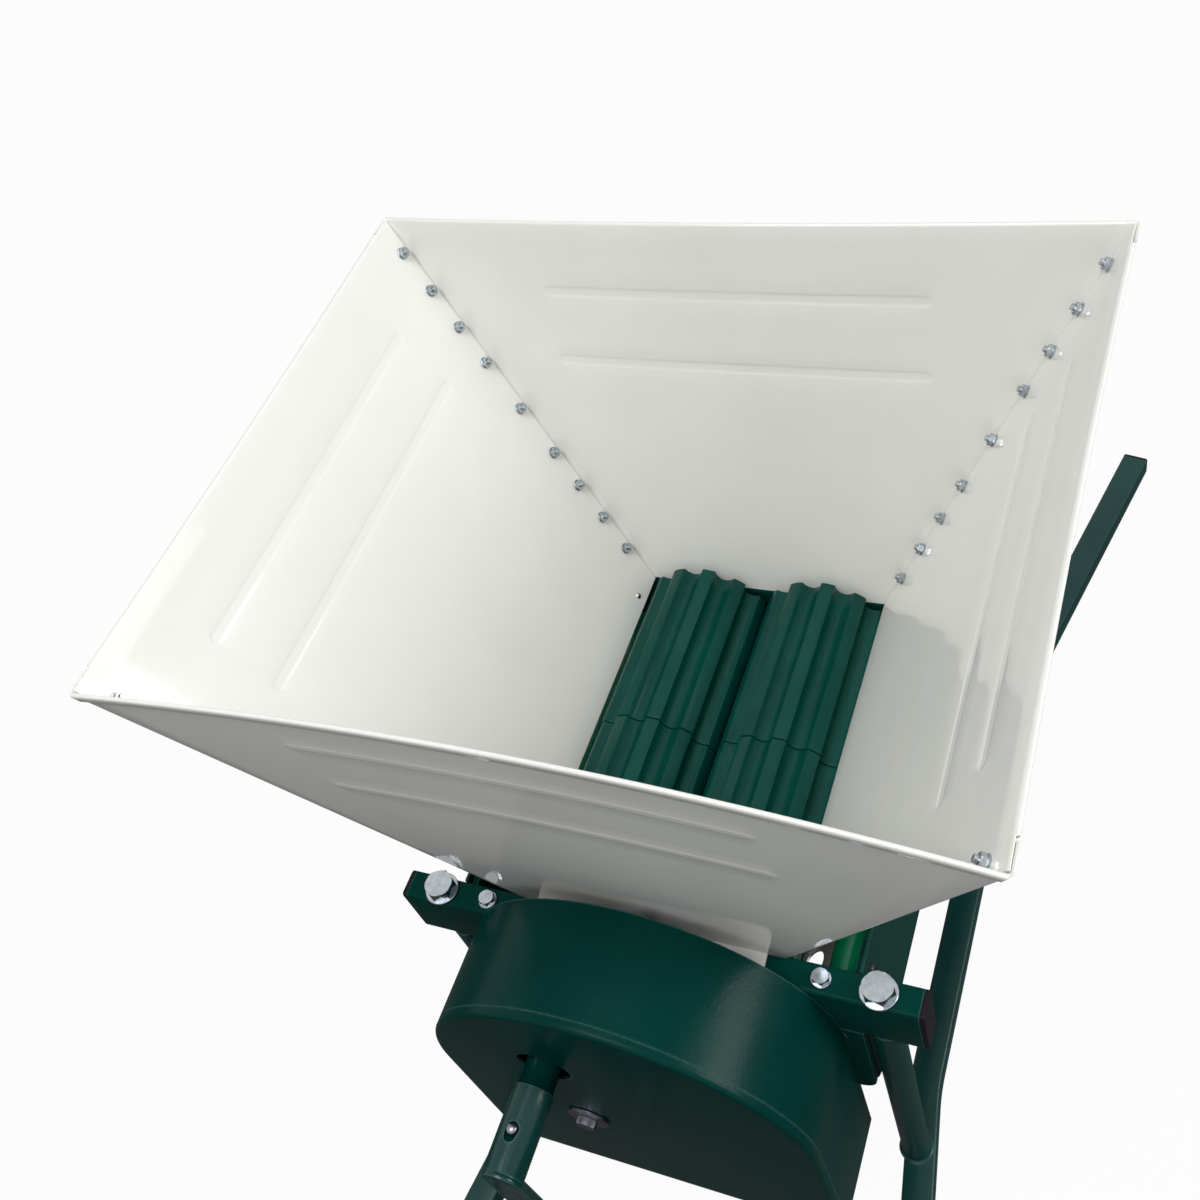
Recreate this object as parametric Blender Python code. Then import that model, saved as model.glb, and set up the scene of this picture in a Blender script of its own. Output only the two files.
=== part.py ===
"""Hand-cranked grape crusher with a destemming trough under its two lobed rollers.

Everything is built in the machine's own coordinates: x runs across, y runs along the
rollers with the crank at -y, and z is measured from the top face of the two cross bars.
An empty lifts the machine so that its carrying rails stand on z = 0.
"""
import math

import bmesh
import bpy
from mathutils import Matrix, Vector

mm = 0.001

# Clearances and overruns shared by all pieces
gap = 0.3 * mm
overrun = 5 * mm
round_sides = 16
small_sides = 8
fastener_sides = 6
smooth_angle = math.radians(38)

# Cross bars: the two rectangular tubes that carry rollers, hopper and housing
bar_spacing = 300 * mm
bar_depth = 20 * mm
bar_height = 50 * mm
bar_wall = 2 * mm
cap_thickness = 3 * mm
cap_plug_length = 12 * mm

# Posts and their bolts
post_end_margin = 26 * mm
post_clearance = 2.05 * mm
post_radius = 10.65 * mm
post_bolt_radius = 6 * mm
post_bolt_head_radius = 11 * mm
post_bolt_head_height = 7.5 * mm
post_bolt_grip = 28 * mm
post_bore_depth = 32 * mm
post_washer_radius = 12 * mm
post_washer_thickness = 2.5 * mm

# Carrying rails
rail_top = -300 * mm
rail_width = 20 * mm
rail_wall = 1.6 * mm
rail_offset = 2 * mm
rail_front_bend_setback = 30 * mm
rail_rear_bend_overhang = 110 * mm
rail_handle_run = 330 * mm
rail_front_splay = math.radians(8.5)
rail_rear_splay = math.radians(12.9)

# Side tubes under the bars, with their through bolts
side_tube_clearance = 10.75 * mm
side_tube_radius = 11 * mm
side_tube_wall = 2 * mm
tube_bolt_radius = 3 * mm
tube_bolt_head_radius = 5.8 * mm
tube_bolt_head_height = 4 * mm
tube_bolt_tip = 8 * mm
tube_washer_radius = 6.5 * mm
tube_washer_thickness = 1.6 * mm
tube_nut_radius = 5.8 * mm
tube_nut_height = 5 * mm

# Rollers
roller_spacing = 93 * mm
roller_axis_drop = 25 * mm
roller_lobes = 12
roller_crest_radius = 48.75 * mm
roller_lobe_depth = 7 * mm
roller_end_clearance = 0.4 * mm
roller_points_per_lobe = 8
roller_crown_share = 0.35
roller_crest_angle = math.radians(82.5)
shaft_radius = 10 * mm
shaft_rear_tail = 6 * mm
shaft_front_tail = 12 * mm
bush_radius = 14 * mm
bush_flange_radius = 18 * mm
bush_flange_thickness = 2.9 * mm
bush_proud = 1.5 * mm

# Gear train: equal roller gears, an idler and the pinion of the beater
gear_teeth = 31
idler_teeth = 30
pinion_teeth = 16
gear_module = roller_spacing / gear_teeth
gear_standoff = 6 * mm
gear_thickness = 16 * mm
gear_addendum_share = 0.85
gear_dedendum_share = 1.2
tooth_tip_share = 0.11
tooth_root_share = 0.28
gear_tooth_angle = math.radians(2)
idler_side = -40 * mm
idler_axle_radius = 8 * mm
idler_axle_flange_radius = 13 * mm
idler_axle_flange_thickness = 4.5 * mm
idler_axle_tail_radius = 6 * mm
idler_collar_radius = 12 * mm
idler_collar_thickness = 5 * mm

# Gear cover
cover_side_offset = -4 * mm
cover_radius = 132 * mm
cover_centre_drop = 69 * mm
cover_bottom = -230 * mm
cover_depth = 80 * mm
cover_wall = 2 * mm
cover_arc_steps = 24
cover_corner_radius = 6 * mm
cover_hole_radius = 19 * mm
cover_hole_sides = 24
cover_bolt_radius = 4 * mm
cover_bolt_length = 24 * mm
cover_bolt_head_radius = 7.5 * mm
cover_bolt_head_height = 5.3 * mm
cover_washer_radius = 15 * mm
cover_washer_thickness = 2 * mm

# Destemming trough: end plate, side plates, perforated screen and rear yoke
beater_side = 0 * mm
plate_thickness = 3 * mm
side_plate_clearance = 10.3 * mm
side_plate_thickness = 2 * mm
side_plate_bottom = -150 * mm
side_plate_corner = 15 * mm
trough_overhang = 140 * mm
screen_radius = 85 * mm
screen_thickness = 2 * mm
screen_flange = 22 * mm
screen_arc_steps = 9
screen_hole_radius = 10.5 * mm
screen_hole_sides = 8
screen_hole_rows = 5
screen_hole_columns = 10
screen_rear_setback = 12 * mm
yoke_thickness = 10 * mm
yoke_arm_width = 38 * mm
yoke_top_drop = 60 * mm
yoke_wing_drop = 50 * mm
yoke_foot_half_width = 20 * mm
yoke_foot_half_height = 22 * mm
lug_length = 26 * mm
lug_height = 34 * mm
lug_thickness = 4 * mm
lug_drop = 8 * mm
outlet_cover_length = 120 * mm
outlet_cover_lip = 18 * mm
outlet_cover_sheet = 1.5 * mm
housing_screw_radius = 2.5 * mm
housing_screw_reach = 9 * mm
screen_screw_count = 3

# Beater
beater_shaft_radius = 10 * mm
beater_front_tail = 10 * mm
beater_tip_radius = 78 * mm
paddle_width = 24 * mm
paddle_thickness = 6 * mm
paddle_count = 12
paddle_turn = math.radians(75)
paddle_front_clearance = 33 * mm
paddle_rear_clearance = 16 * mm
beater_phase = math.radians(30)

# Crank
crank_shaft_inset = 11 * mm
crank_bore_radius = 7 * mm
crank_bore_depth = 55 * mm
socket_radius = 13.45 * mm
socket_standoff = 15.7 * mm
socket_length = 55 * mm
arm_depth = 18 * mm
arm_weld_overlap = 3 * mm
arm_half_width = 13.5 * mm
arm_corner_radius = 6 * mm
crank_throw = 220 * mm
arm_end_extra = 14 * mm
spindle_radius = 6 * mm
spindle_head_radius = 11 * mm
spindle_head_thickness = 4 * mm
spindle_tail = 9 * mm
grip_length = 110 * mm
grip_radius = 16 * mm
grip_waist_radius = 14 * mm
grip_end_radius = 13 * mm
grip_end_share = 0.04
grip_swell_share = 0.2
grip_nut_radius = 9.5 * mm
grip_nut_height = 8 * mm
button_setback = 28.6 * mm
button_radius = 3.8 * mm
button_hole_radius = 4.3 * mm
button_flange_radius = 4.7 * mm
button_flange_bottom = 3 * mm
button_flange_top = 4.4 * mm
button_dome_height = 2.4 * mm
button_dome_edge_share = 0.75
spring_half_width = 2.8 * mm
spring_leaf = 0.7 * mm
spring_front_reach = 5.4 * mm
spring_rear_reach = 34.6 * mm
spring_tip_rise = 2.6 * mm
spring_foot_drop = 6 * mm
spring_apex_drop = 1.5 * mm
spring_apex_depth = 8 * mm

# Hopper
hopper_rim = 296 * mm
hopper_bottom_half_width = 91 * mm
hopper_seat = 0.8 * mm
hopper_top_half_width = 244 * mm
hopper_end_flare = 60.7 * mm
sheet = 1.5 * mm
seam_flange = 15 * mm
hem_height = 6 * mm
hem_extra = 1.5 * mm
hem_round = 0.6 * mm
tab_half_width = 81 * mm
tab_corner_radius = 6 * mm
tab_thickness = 2 * mm
tab_screw_radius = 2.6 * mm
seam_inset = 8 * mm
seam_lowest = 34 * mm
seam_top_margin = 20 * mm
seam_wide_share = 1.32
seam_wide_gaps = (4, 5)
seam_count = 9
seam_hole_radius = 2.8 * mm

# Values that follow from the ones above
bar_y = bar_spacing / 2
bar_inner_face = bar_y - bar_depth / 2
bar_outer_face = bar_y + bar_depth / 2
roller_side = roller_spacing / 2
side_tube_side = roller_side + roller_crest_radius + side_tube_clearance + side_tube_radius
side_plate_inner = side_tube_side + side_tube_radius + side_plate_clearance
post_side = side_plate_inner + side_plate_thickness + post_clearance + post_radius
bar_half_length = post_side + post_end_margin
rail_side = post_side - rail_offset
rail_bottom = rail_top - rail_width
rail_bend_front = rail_front_bend_setback - bar_y
rail_bend_rear = bar_y + rail_rear_bend_overhang
rail_middle = (rail_bend_front + rail_bend_rear) / 2
roller_half_length = bar_inner_face - gap - bush_flange_thickness - roller_end_clearance
shaft_z = -roller_axis_drop
gear_radius = gear_module * gear_teeth / 2
idler_radius = gear_module * idler_teeth / 2
pinion_radius = gear_module * pinion_teeth / 2
idler_drop = math.sqrt((gear_radius + idler_radius) ** 2 - (idler_side + roller_side) ** 2)
idler_z = shaft_z - idler_drop
pinion_drop = math.sqrt((idler_radius + pinion_radius) ** 2 - (beater_side - idler_side) ** 2)
beater_z = idler_z - pinion_drop
gear_front = -bar_outer_face - gear_standoff - gear_thickness
side_tube_z = -bar_height - side_tube_radius - gap
end_plate_front = -bar_outer_face
end_plate_rear = end_plate_front + plate_thickness
cover_back = -bar_outer_face - gap
cover_front = cover_back - cover_depth
cover_centre_z = -cover_centre_drop
socket_rear = cover_front - socket_standoff
socket_front = socket_rear - socket_length
crank_shaft_front = socket_front + crank_shaft_inset
button_station = socket_rear - button_setback
spring_front = button_station - spring_front_reach
spring_rear = button_station + spring_rear_reach
trough_rear = bar_outer_face + trough_overhang
side_plate_outer = side_plate_inner + side_plate_thickness
screen_rear = trough_rear - screen_rear_setback - yoke_thickness
yoke_rear = trough_rear - screen_rear_setback / 2
outlet_cover_front = bar_outer_face + gap
hopper_bottom = gap
hopper_bottom_half_depth = bar_inner_face + hopper_seat
hopper_top_half_depth = hopper_bottom_half_depth + hopper_end_flare
seam_span = hopper_rim - seam_top_margin - seam_lowest
seam_step = seam_span / (seam_count - 1 + len(seam_wide_gaps) * (seam_wide_share - 1))
side_slope = (hopper_top_half_width - hopper_bottom_half_width) / (hopper_rim - hopper_bottom)
end_slope = (hopper_top_half_depth - hopper_bottom_half_depth) / (hopper_rim - hopper_bottom)
side_run = sheet * math.sqrt(1 + side_slope ** 2)
end_run = sheet * math.sqrt(1 + end_slope ** 2)


def srgb(red, green, blue):
    """Turn an 8-bit screen colour into the linear colour that shaders use."""
    values = [channel / 255 for channel in (red, green, blue)]
    linear = [v / 12.92 if v <= 0.04045 else ((v + 0.055) / 1.055) ** 2.4 for v in values]
    return (*linear, 1)


finishes = {
    "green_paint": (srgb(14, 66, 60), 0.28, 0.0),
    "roller_green": (srgb(34, 76, 70), 0.45, 0.0),
    "bright_green": (srgb(8, 120, 86), 0.35, 0.0),
    "cream_paint": (srgb(232, 231, 222), 0.25, 0.0),
    "zinc": (srgb(182, 188, 194), 0.3, 1.0),
    "black_plastic": (srgb(38, 38, 42), 0.5, 0.0),
    "black_steel": (srgb(34, 34, 36), 0.4, 0.6),
    "bronze": (srgb(176, 132, 72), 0.35, 1.0),
    "bare_steel": (srgb(150, 152, 154), 0.35, 1.0),
    "stainless": (srgb(190, 190, 188), 0.25, 1.0),
}


def finish(name):
    """Return the material of a named finish, made on first use."""
    material = bpy.data.materials.get(name)
    if material is None:
        material = bpy.data.materials.new(name)
        material.use_nodes = True
        colour, roughness, metallic = finishes[name]
        shader = material.node_tree.nodes["Principled BSDF"]
        shader.inputs["Base Color"].default_value = colour
        shader.inputs["Roughness"].default_value = roughness
        shader.inputs["Metallic"].default_value = metallic
        material.diffuse_color = colour
    return material


def clear_scene():
    """Remove every object of the open scene."""
    for item in list(bpy.data.objects):
        bpy.data.objects.remove(item, do_unlink=True)


def add_empty(name, location, parent=None):
    """Add an empty that carries pieces, for instance on a joint's axis."""
    empty = bpy.data.objects.new(name, None)
    empty.location = location
    empty.parent = parent
    bpy.context.scene.collection.objects.link(empty)
    return empty


def add_piece(name, shape, finish_name, parent):
    """Turn a finished bmesh into a named, smooth-shaded object."""
    bmesh.ops.recalc_face_normals(shape, faces=shape.faces)
    mesh = bpy.data.meshes.new(name)
    shape.to_mesh(mesh)
    shape.free()
    mesh.shade_smooth()
    mesh.set_sharp_from_angle(angle=smooth_angle)
    mesh.materials.append(finish(finish_name))
    piece = bpy.data.objects.new(name, mesh)
    piece.parent = parent
    bpy.context.scene.collection.objects.link(piece)
    return piece


def add_boolean(piece, label, shape, operation):
    """Cut a shape from a piece, or join it to the piece, with an exact Boolean."""
    bmesh.ops.recalc_face_normals(shape, faces=shape.faces)
    mesh = bpy.data.meshes.new(f"{piece.name}_{label}")
    shape.to_mesh(mesh)
    shape.free()
    tool = bpy.data.objects.new(f"{piece.name}_{label}", mesh)
    tool.parent = piece.parent
    tool.hide_render = True
    tool.display_type = "WIRE"
    bpy.context.scene.collection.objects.link(tool)
    modifier = piece.modifiers.new(label, "BOOLEAN")
    modifier.operation = operation
    modifier.solver = "EXACT"
    modifier.object = tool


def put(axis, u, v, s):
    """Place outline coordinates (u, v) at station s along an axis."""
    return {"x": Vector((s, u, v)), "y": Vector((u, s, v)), "z": Vector((u, v, s))}[axis]


def loop_edges(loop):
    """Return the edges that join a ring of vertices."""
    edges = []
    for first, second in zip(loop, loop[1:] + loop[:1]):
        for edge in first.link_edges:
            if second in edge.verts:
                edges.append(edge)
                break
    return edges


def loft(shape, rings):
    """Join rings of points with equal counts into one closed body."""
    made = [[shape.verts.new(point) for point in ring] for ring in rings]
    for low, high in zip(made, made[1:]):
        for index in range(len(low)):
            after = (index + 1) % len(low)
            shape.faces.new((low[index], low[after], high[after], high[index]))
    shape.faces.new(made[0][::-1])
    shape.faces.new(made[-1])


def plate(shape, axis, start, stop, outline, holes=()):
    """Extrude an outline with round or other holes along an axis."""
    ends = []
    for station in (start, stop):
        loops = [[shape.verts.new(put(axis, u, v, station)) for u, v in points]
                 for points in (outline, *holes)]
        ends.append(loops)
    for low, high in zip(*ends):
        for index in range(len(low)):
            after = (index + 1) % len(low)
            shape.faces.new((low[index], low[after], high[after], high[index]))
    for loops in ends:
        edges = [edge for loop in loops for edge in loop_edges(loop)]
        bmesh.ops.triangle_fill(shape, edges=edges, use_beauty=True, use_dissolve=False)


def circle(radius, sides, u=0, v=0, turn=0):
    """Return the corners of a regular polygon."""
    angles = [turn + 2 * math.pi * index / sides for index in range(sides)]
    return [(u + radius * math.cos(a), v + radius * math.sin(a)) for a in angles]


def rectangle(u_low, u_high, v_low, v_high):
    """Return the four corners of a rectangle."""
    return [(u_low, v_low), (u_high, v_low), (u_high, v_high), (u_low, v_high)]


def arc(centre, radius, start, stop, steps):
    """Return points along an arc, both ends included."""
    angles = [start + (stop - start) * index / steps for index in range(steps + 1)]
    return [(centre[0] + radius * math.cos(a), centre[1] + radius * math.sin(a)) for a in angles]


def turned(shape, axis, profile, sides, u=0, v=0, turn=0):
    """Turn a closed profile of (radius, station) points about an axis through (u, v)."""
    rings = []
    for radius, station in profile:
        if radius == 0:
            rings.append([shape.verts.new(put(axis, u, v, station))])
        else:
            ring = circle(radius, sides, u, v, turn)
            rings.append([shape.verts.new(put(axis, a, b, station)) for a, b in ring])
    for low, high in zip(rings, rings[1:] + rings[:1]):
        if len(low) == 1 and len(high) == 1:
            continue
        for index in range(sides):
            after = (index + 1) % sides
            corners = [low[index % len(low)], low[after % len(low)],
                       high[after % len(high)], high[index % len(high)]]
            unique = list(dict.fromkeys(corners))
            shape.faces.new(unique)


def rod(shape, axis, radius, start, stop, sides, u=0, v=0, turn=0):
    """Add a plain round bar."""
    rings = []
    for station in (start, stop):
        rings.append([put(axis, a, b, station) for a, b in circle(radius, sides, u, v, turn)])
    loft(shape, rings)


def pipe(shape, axis, outer, inner, start, stop, sides, u=0, v=0, turn=0):
    """Add a ring or a tube with open ends."""
    profile = [(outer, start), (outer, stop), (inner, stop), (inner, start)]
    turned(shape, axis, profile, sides, u, v, turn)


def bolt(shape, axis, seat, head, reach, radii, sides, u=0, v=0):
    """Add a hex bolt: its head rests at seat, and head and reach point opposite ways."""
    head_radius, shank_radius = radii
    profile = [(0, seat + head), (head_radius, seat + head), (head_radius, seat),
               (shank_radius, seat), (shank_radius, seat + reach), (0, seat + reach)]
    turned(shape, axis, profile, sides, u, v)


def tilt(shape, first_vertex, frame):
    """Move the vertices added since first_vertex into another frame."""
    shape.verts.ensure_lookup_table()
    bmesh.ops.transform(shape, matrix=frame, verts=shape.verts[first_vertex:])


def mesh_turn(own_turn, own_teeth, direction, other_teeth):
    """Turn of a gear whose gaps meet the teeth of its neighbour in the given direction."""
    share = (direction - own_turn) * own_teeth / (2 * math.pi)
    return direction + math.pi - (0.5 - share) * 2 * math.pi / other_teeth


def gear_outline(teeth, turn):
    """Return a spur gear's outline with straight-sided teeth."""
    pitch_radius = gear_module * teeth / 2
    tip = pitch_radius + gear_addendum_share * gear_module
    root = pitch_radius - gear_dedendum_share * gear_module
    step = 2 * math.pi / teeth
    points = []
    for index in range(teeth):
        centre = turn + index * step
        for radius, share in ((root, -tooth_root_share), (tip, -tooth_tip_share),
                              (tip, tooth_tip_share), (root, tooth_root_share)):
            angle = centre + share * step
            points.append((radius * math.cos(angle), radius * math.sin(angle)))
    return points


def lobe_outline(crest_turn):
    """Return a roller's outline: wide crowns with matching hollows between them."""
    count = roller_lobes * roller_points_per_lobe
    middle = roller_crest_radius - roller_lobe_depth / 2
    points = []
    for index in range(count):
        angle = 2 * math.pi * index / count
        wave = math.cos(roller_lobes * angle)
        swell = wave * (1 + roller_crown_share * (1 - wave ** 2))
        radius = middle + swell * roller_lobe_depth / 2
        points.append((radius * math.cos(angle + crest_turn), radius * math.sin(angle + crest_turn)))
    return points


def swept_rail(shape, side):
    """Add one bent square tube, its outer walls and its bore, open at both ends."""
    front_end = rail_bend_front - rail_handle_run
    rear_end = rail_bend_rear + rail_handle_run
    path = [(rail_side + rail_handle_run * math.tan(rail_front_splay), front_end),
            (rail_side, rail_bend_front), (rail_side, rail_bend_rear),
            (rail_side + rail_handle_run * math.tan(rail_rear_splay), rear_end)]
    z_mid = rail_top - rail_width / 2
    walls = []
    for half in (rail_width / 2, rail_width / 2 - rail_wall):
        rings = []
        for index, (x, y) in enumerate(path):
            across = rail_across(path, index)
            ring = [Vector((side * (x + sx * half * across.x), y + sx * half * across.y,
                            z_mid + sz * half))
                    for sx, sz in ((-1, -1), (1, -1), (1, 1), (-1, 1))]
            rings.append([shape.verts.new(point) for point in ring])
        walls.append(rings)
    for rings in walls:
        for low, high in zip(rings, rings[1:]):
            for index in range(len(low)):
                after = (index + 1) % len(low)
                shape.faces.new((low[index], low[after], high[after], high[index]))
    for end in (0, -1):
        outer, inner = walls[0][end], walls[1][end]
        for index in range(len(outer)):
            after = (index + 1) % len(outer)
            shape.faces.new((outer[index], outer[after], inner[after], inner[index]))


def rail_across(path, index):
    """Return the mitred sideways direction of a rail at one of its path points."""
    before = path[max(index - 1, 0)]
    here = path[index]
    after = path[min(index + 1, len(path) - 1)]
    normals = []
    for first, second in ((before, here), (here, after)):
        run = Vector((second[0] - first[0], second[1] - first[1]))
        if run.length > 0:
            run.normalize()
            normals.append(Vector((run.y, -run.x)))
    mean = sum(normals, Vector((0, 0)))
    mean.normalize()
    return mean / mean.dot(normals[0])


def build_rails(machine):
    """Build each carrying rail with its two posts welded on, and the caps in its ends."""
    for side, name in ((-1, "left"), (1, "right")):
        shape = bmesh.new()
        swept_rail(shape, side)
        frame = add_piece(f"{name}_rail_frame", shape, "green_paint", machine)
        posts = bmesh.new()
        for end in (-1, 1):
            add_post(posts, side * post_side, end * bar_y)
        add_boolean(frame, "posts", posts, "UNION")
        for end_name, sense, bend, splay in (("front", -1, rail_bend_front, rail_front_splay),
                                             ("rear", 1, rail_bend_rear, rail_rear_splay)):
            half = rail_width / 2
            plug = half - rail_wall - gap
            rings = []
            for size, station in ((plug, -cap_plug_length), (plug, gap), (half, gap),
                                  (half, gap + cap_thickness)):
                rings.append([put("y", u, v, station) for u, v in rectangle(-size, size, -size, size)])
            shape = bmesh.new()
            loft(shape, rings)
            end_x = rail_side + rail_handle_run * math.tan(splay)
            turn = Matrix.Rotation(-side * splay, 4, "Z")
            flip = Matrix.Diagonal((1, sense, 1, 1))
            place = Matrix.Translation((side * end_x, bend + sense * rail_handle_run,
                                        rail_top - rail_width / 2))
            bmesh.ops.transform(shape, matrix=place @ flip @ turn, verts=shape.verts)
            add_piece(f"{end_name}_{name}_rail_cap", shape, "black_plastic", machine)


def add_post(shape, x, y):
    """Add one post with the bore for its bolt, its foot sunk into the rail's top wall."""
    top = -bar_height - gap
    foot = rail_top - rail_wall / 2
    bore = post_bolt_radius + gap
    profile = [(0, foot), (post_radius, foot), (post_radius, top), (bore, top),
               (bore, top - post_bore_depth), (0, top - post_bore_depth)]
    turned(shape, "z", profile, round_sides, x, y)


def build_post_bolts(machine):
    """Build the four bolts that clamp the bars to the posts, each with its washer."""
    for end_name, end in (("front", -1), ("rear", 1)):
        for side_name, side in (("left", -1), ("right", 1)):
            x, y = side * post_side, end * bar_y
            seat = gap + post_washer_thickness
            shape = bmesh.new()
            bolt(shape, "z", seat, post_bolt_head_height, -(seat + bar_height + post_bolt_grip),
                 (post_bolt_head_radius, post_bolt_radius), fastener_sides, x, y)
            piece = add_piece(f"{end_name}_{side_name}_post_bolt", shape, "zinc", machine)
            washer = bmesh.new()
            rod(washer, "z", post_washer_radius, gap, seat + gap, round_sides, x, y)
            add_boolean(piece, "washer", washer, "UNION")


def build_cross_bars(machine):
    """Build both cross bars, bored for bushes and bolts and with the side plates' lugs."""
    for name, end in (("front", -1), ("rear", 1)):
        y = end * bar_y
        shape = bmesh.new()
        half = bar_depth / 2
        outer = rectangle(y - half, y + half, -bar_height, 0)
        inner = rectangle(y - half + bar_wall, y + half - bar_wall, bar_wall - bar_height, -bar_wall)
        plate(shape, "x", -bar_half_length, bar_half_length, outer, (inner,))
        bar = add_piece(f"{name}_cross_bar", shape, "green_paint", machine)
        lugs = bmesh.new()
        for side in (-1, 1):
            add_lug(lugs, side, end)
        add_boolean(bar, "lugs", lugs, "UNION")
        cuts = bmesh.new()
        for side in (-1, 1):
            rod(cuts, "y", bush_radius + gap, y - half - overrun, y + half + overrun,
                round_sides, side * roller_side, shaft_z)
            rod(cuts, "z", post_bolt_radius + gap, -bar_height - overrun, overrun,
                round_sides, side * post_side, y)
            rod(cuts, "z", tube_bolt_radius + gap, -bar_height - overrun, overrun,
                small_sides, side * side_tube_side, y)
        rod(cuts, "z", tab_screw_radius, -bar_wall - overrun, overrun, small_sides, 0, y)
        add_boolean(bar, "bores", cuts, "DIFFERENCE")
        for side_name, side in (("left", -1), ("right", 1)):
            rings = []
            start = bar_half_length - cap_plug_length
            seat = bar_half_length + gap
            for inset, station in ((bar_wall + gap, start), (bar_wall + gap, seat), (0, seat),
                                   (0, seat + cap_thickness)):
                corners = rectangle(y - half + inset, y + half - inset, inset - bar_height, -inset)
                rings.append([put("x", u, v, side * station) for u, v in corners])
            cap = bmesh.new()
            loft(cap, rings)
            add_piece(f"{name}_{side_name}_bar_cap", cap, "black_plastic", machine)


def add_lug(shape, side, end):
    """Add the lug on a bar's inner face that a side plate is screwed to."""
    outer = side_plate_inner - gap
    top = -lug_drop
    near = bar_inner_face - lug_length
    far = bar_inner_face + bar_wall / 2
    screw_y, screw_z = lug_screw_place(end)
    plate(shape, "x", side * (outer - lug_thickness), side * outer,
          rectangle(min(end * near, end * far), max(end * near, end * far), top - lug_height, top),
          (circle(housing_screw_radius + gap, fastener_sides, screw_y, screw_z),))


def lug_screw_place(end):
    """Return the (y, z) place of the screw in the lug of one bar."""
    return end * (bar_inner_face - lug_length / 2), -lug_drop - lug_height / 2


def build_side_tubes(machine):
    """Build the two side tubes under the bars and the bolts through bar and tube."""
    tube_bottom = side_tube_z - side_tube_radius
    for side, side_name in ((-1, "left"), (1, "right")):
        x = side * side_tube_side
        shape = bmesh.new()
        pipe(shape, "y", side_tube_radius, side_tube_radius - side_tube_wall,
             -bar_outer_face, bar_outer_face, round_sides, x, side_tube_z,
             math.pi / round_sides)
        tube = add_piece(f"{side_name}_side_tube", shape, "bright_green", machine)
        cuts = bmesh.new()
        for end, end_name in ((-1, "front"), (1, "rear")):
            y = end * bar_y
            rod(cuts, "z", tube_bolt_radius + gap, tube_bottom - overrun,
                -bar_height + overrun, small_sides, x, y)
            seat = gap + tube_washer_thickness
            shape = bmesh.new()
            bolt(shape, "z", seat, tube_bolt_head_height,
                 tube_bottom - tube_bolt_tip - seat,
                 (tube_bolt_head_radius, tube_bolt_radius), fastener_sides, x, y)
            piece = add_piece(f"{end_name}_{side_name}_tube_bolt", shape, "zinc", machine)
            ends = bmesh.new()
            rod(ends, "z", tube_washer_radius, gap, seat + gap, round_sides, x, y)
            rod(ends, "z", tube_nut_radius, tube_bottom - gap - tube_nut_height,
                tube_bottom - gap, fastener_sides, x, y)
            add_boolean(piece, "washer_and_nut", ends, "UNION")
        add_boolean(tube, "bolt_holes", cuts, "DIFFERENCE")


def build_bushes(machine):
    """Build the flanged bushes of the roller shafts in the two bars."""
    bore = shaft_radius + gap
    for end, end_name in ((-1, "front"), (1, "rear")):
        for side, side_name in ((-1, "left"), (1, "right")):
            flange_back = bar_inner_face - gap
            profile = [(bush_radius, bar_outer_face + bush_proud), (bush_radius, flange_back),
                       (bush_flange_radius, flange_back),
                       (bush_flange_radius, flange_back - bush_flange_thickness),
                       (bore, flange_back - bush_flange_thickness),
                       (bore, bar_outer_face + bush_proud)]
            shape = bmesh.new()
            turned(shape, "y", [(radius, end * station) for radius, station in profile],
                   round_sides, side * roller_side, shaft_z)
            add_piece(f"{end_name}_{side_name}_roller_bush", shape, "bronze", machine)


def build_roller(name, axis, crest_turn):
    """Build the two lobed halves of one roller on its shaft's axis."""
    bore = circle(shaft_radius + gap, round_sides)
    outline = lobe_outline(crest_turn)
    halves = (("front", -roller_half_length, -gap / 2), ("rear", gap / 2, roller_half_length))
    for end_name, start, stop in halves:
        shape = bmesh.new()
        plate(shape, "y", start, stop, outline, (bore,))
        add_piece(f"{name}_roller_{end_name}_half", shape, "roller_green", axis)


def build_rollers(left_axis, right_axis):
    """Build both rollers so that the crowns of one face the hollows of the other."""
    build_roller("left", left_axis, roller_crest_angle)
    build_roller("right", right_axis,
                 mesh_turn(roller_crest_angle, roller_lobes, 0, roller_lobes))
    shaft_rear = bar_outer_face + shaft_rear_tail
    shape = bmesh.new()
    profile = [(0, shaft_rear), (shaft_radius, shaft_rear), (shaft_radius, crank_shaft_front),
               (crank_bore_radius, crank_shaft_front),
               (crank_bore_radius, crank_shaft_front + crank_bore_depth),
               (0, crank_shaft_front + crank_bore_depth)]
    turned(shape, "y", profile, round_sides)
    shaft = add_piece("left_roller_shaft", shape, "bare_steel", left_axis)
    hole = bmesh.new()
    rod(hole, "z", button_hole_radius, 0, shaft_radius + overrun, round_sides, 0, button_station)
    add_boolean(shaft, "button_hole", hole, "DIFFERENCE")
    shape = bmesh.new()
    rod(shape, "y", shaft_radius, gear_front - shaft_front_tail, shaft_rear, round_sides)
    add_piece("right_roller_shaft", shape, "bare_steel", right_axis)


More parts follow.
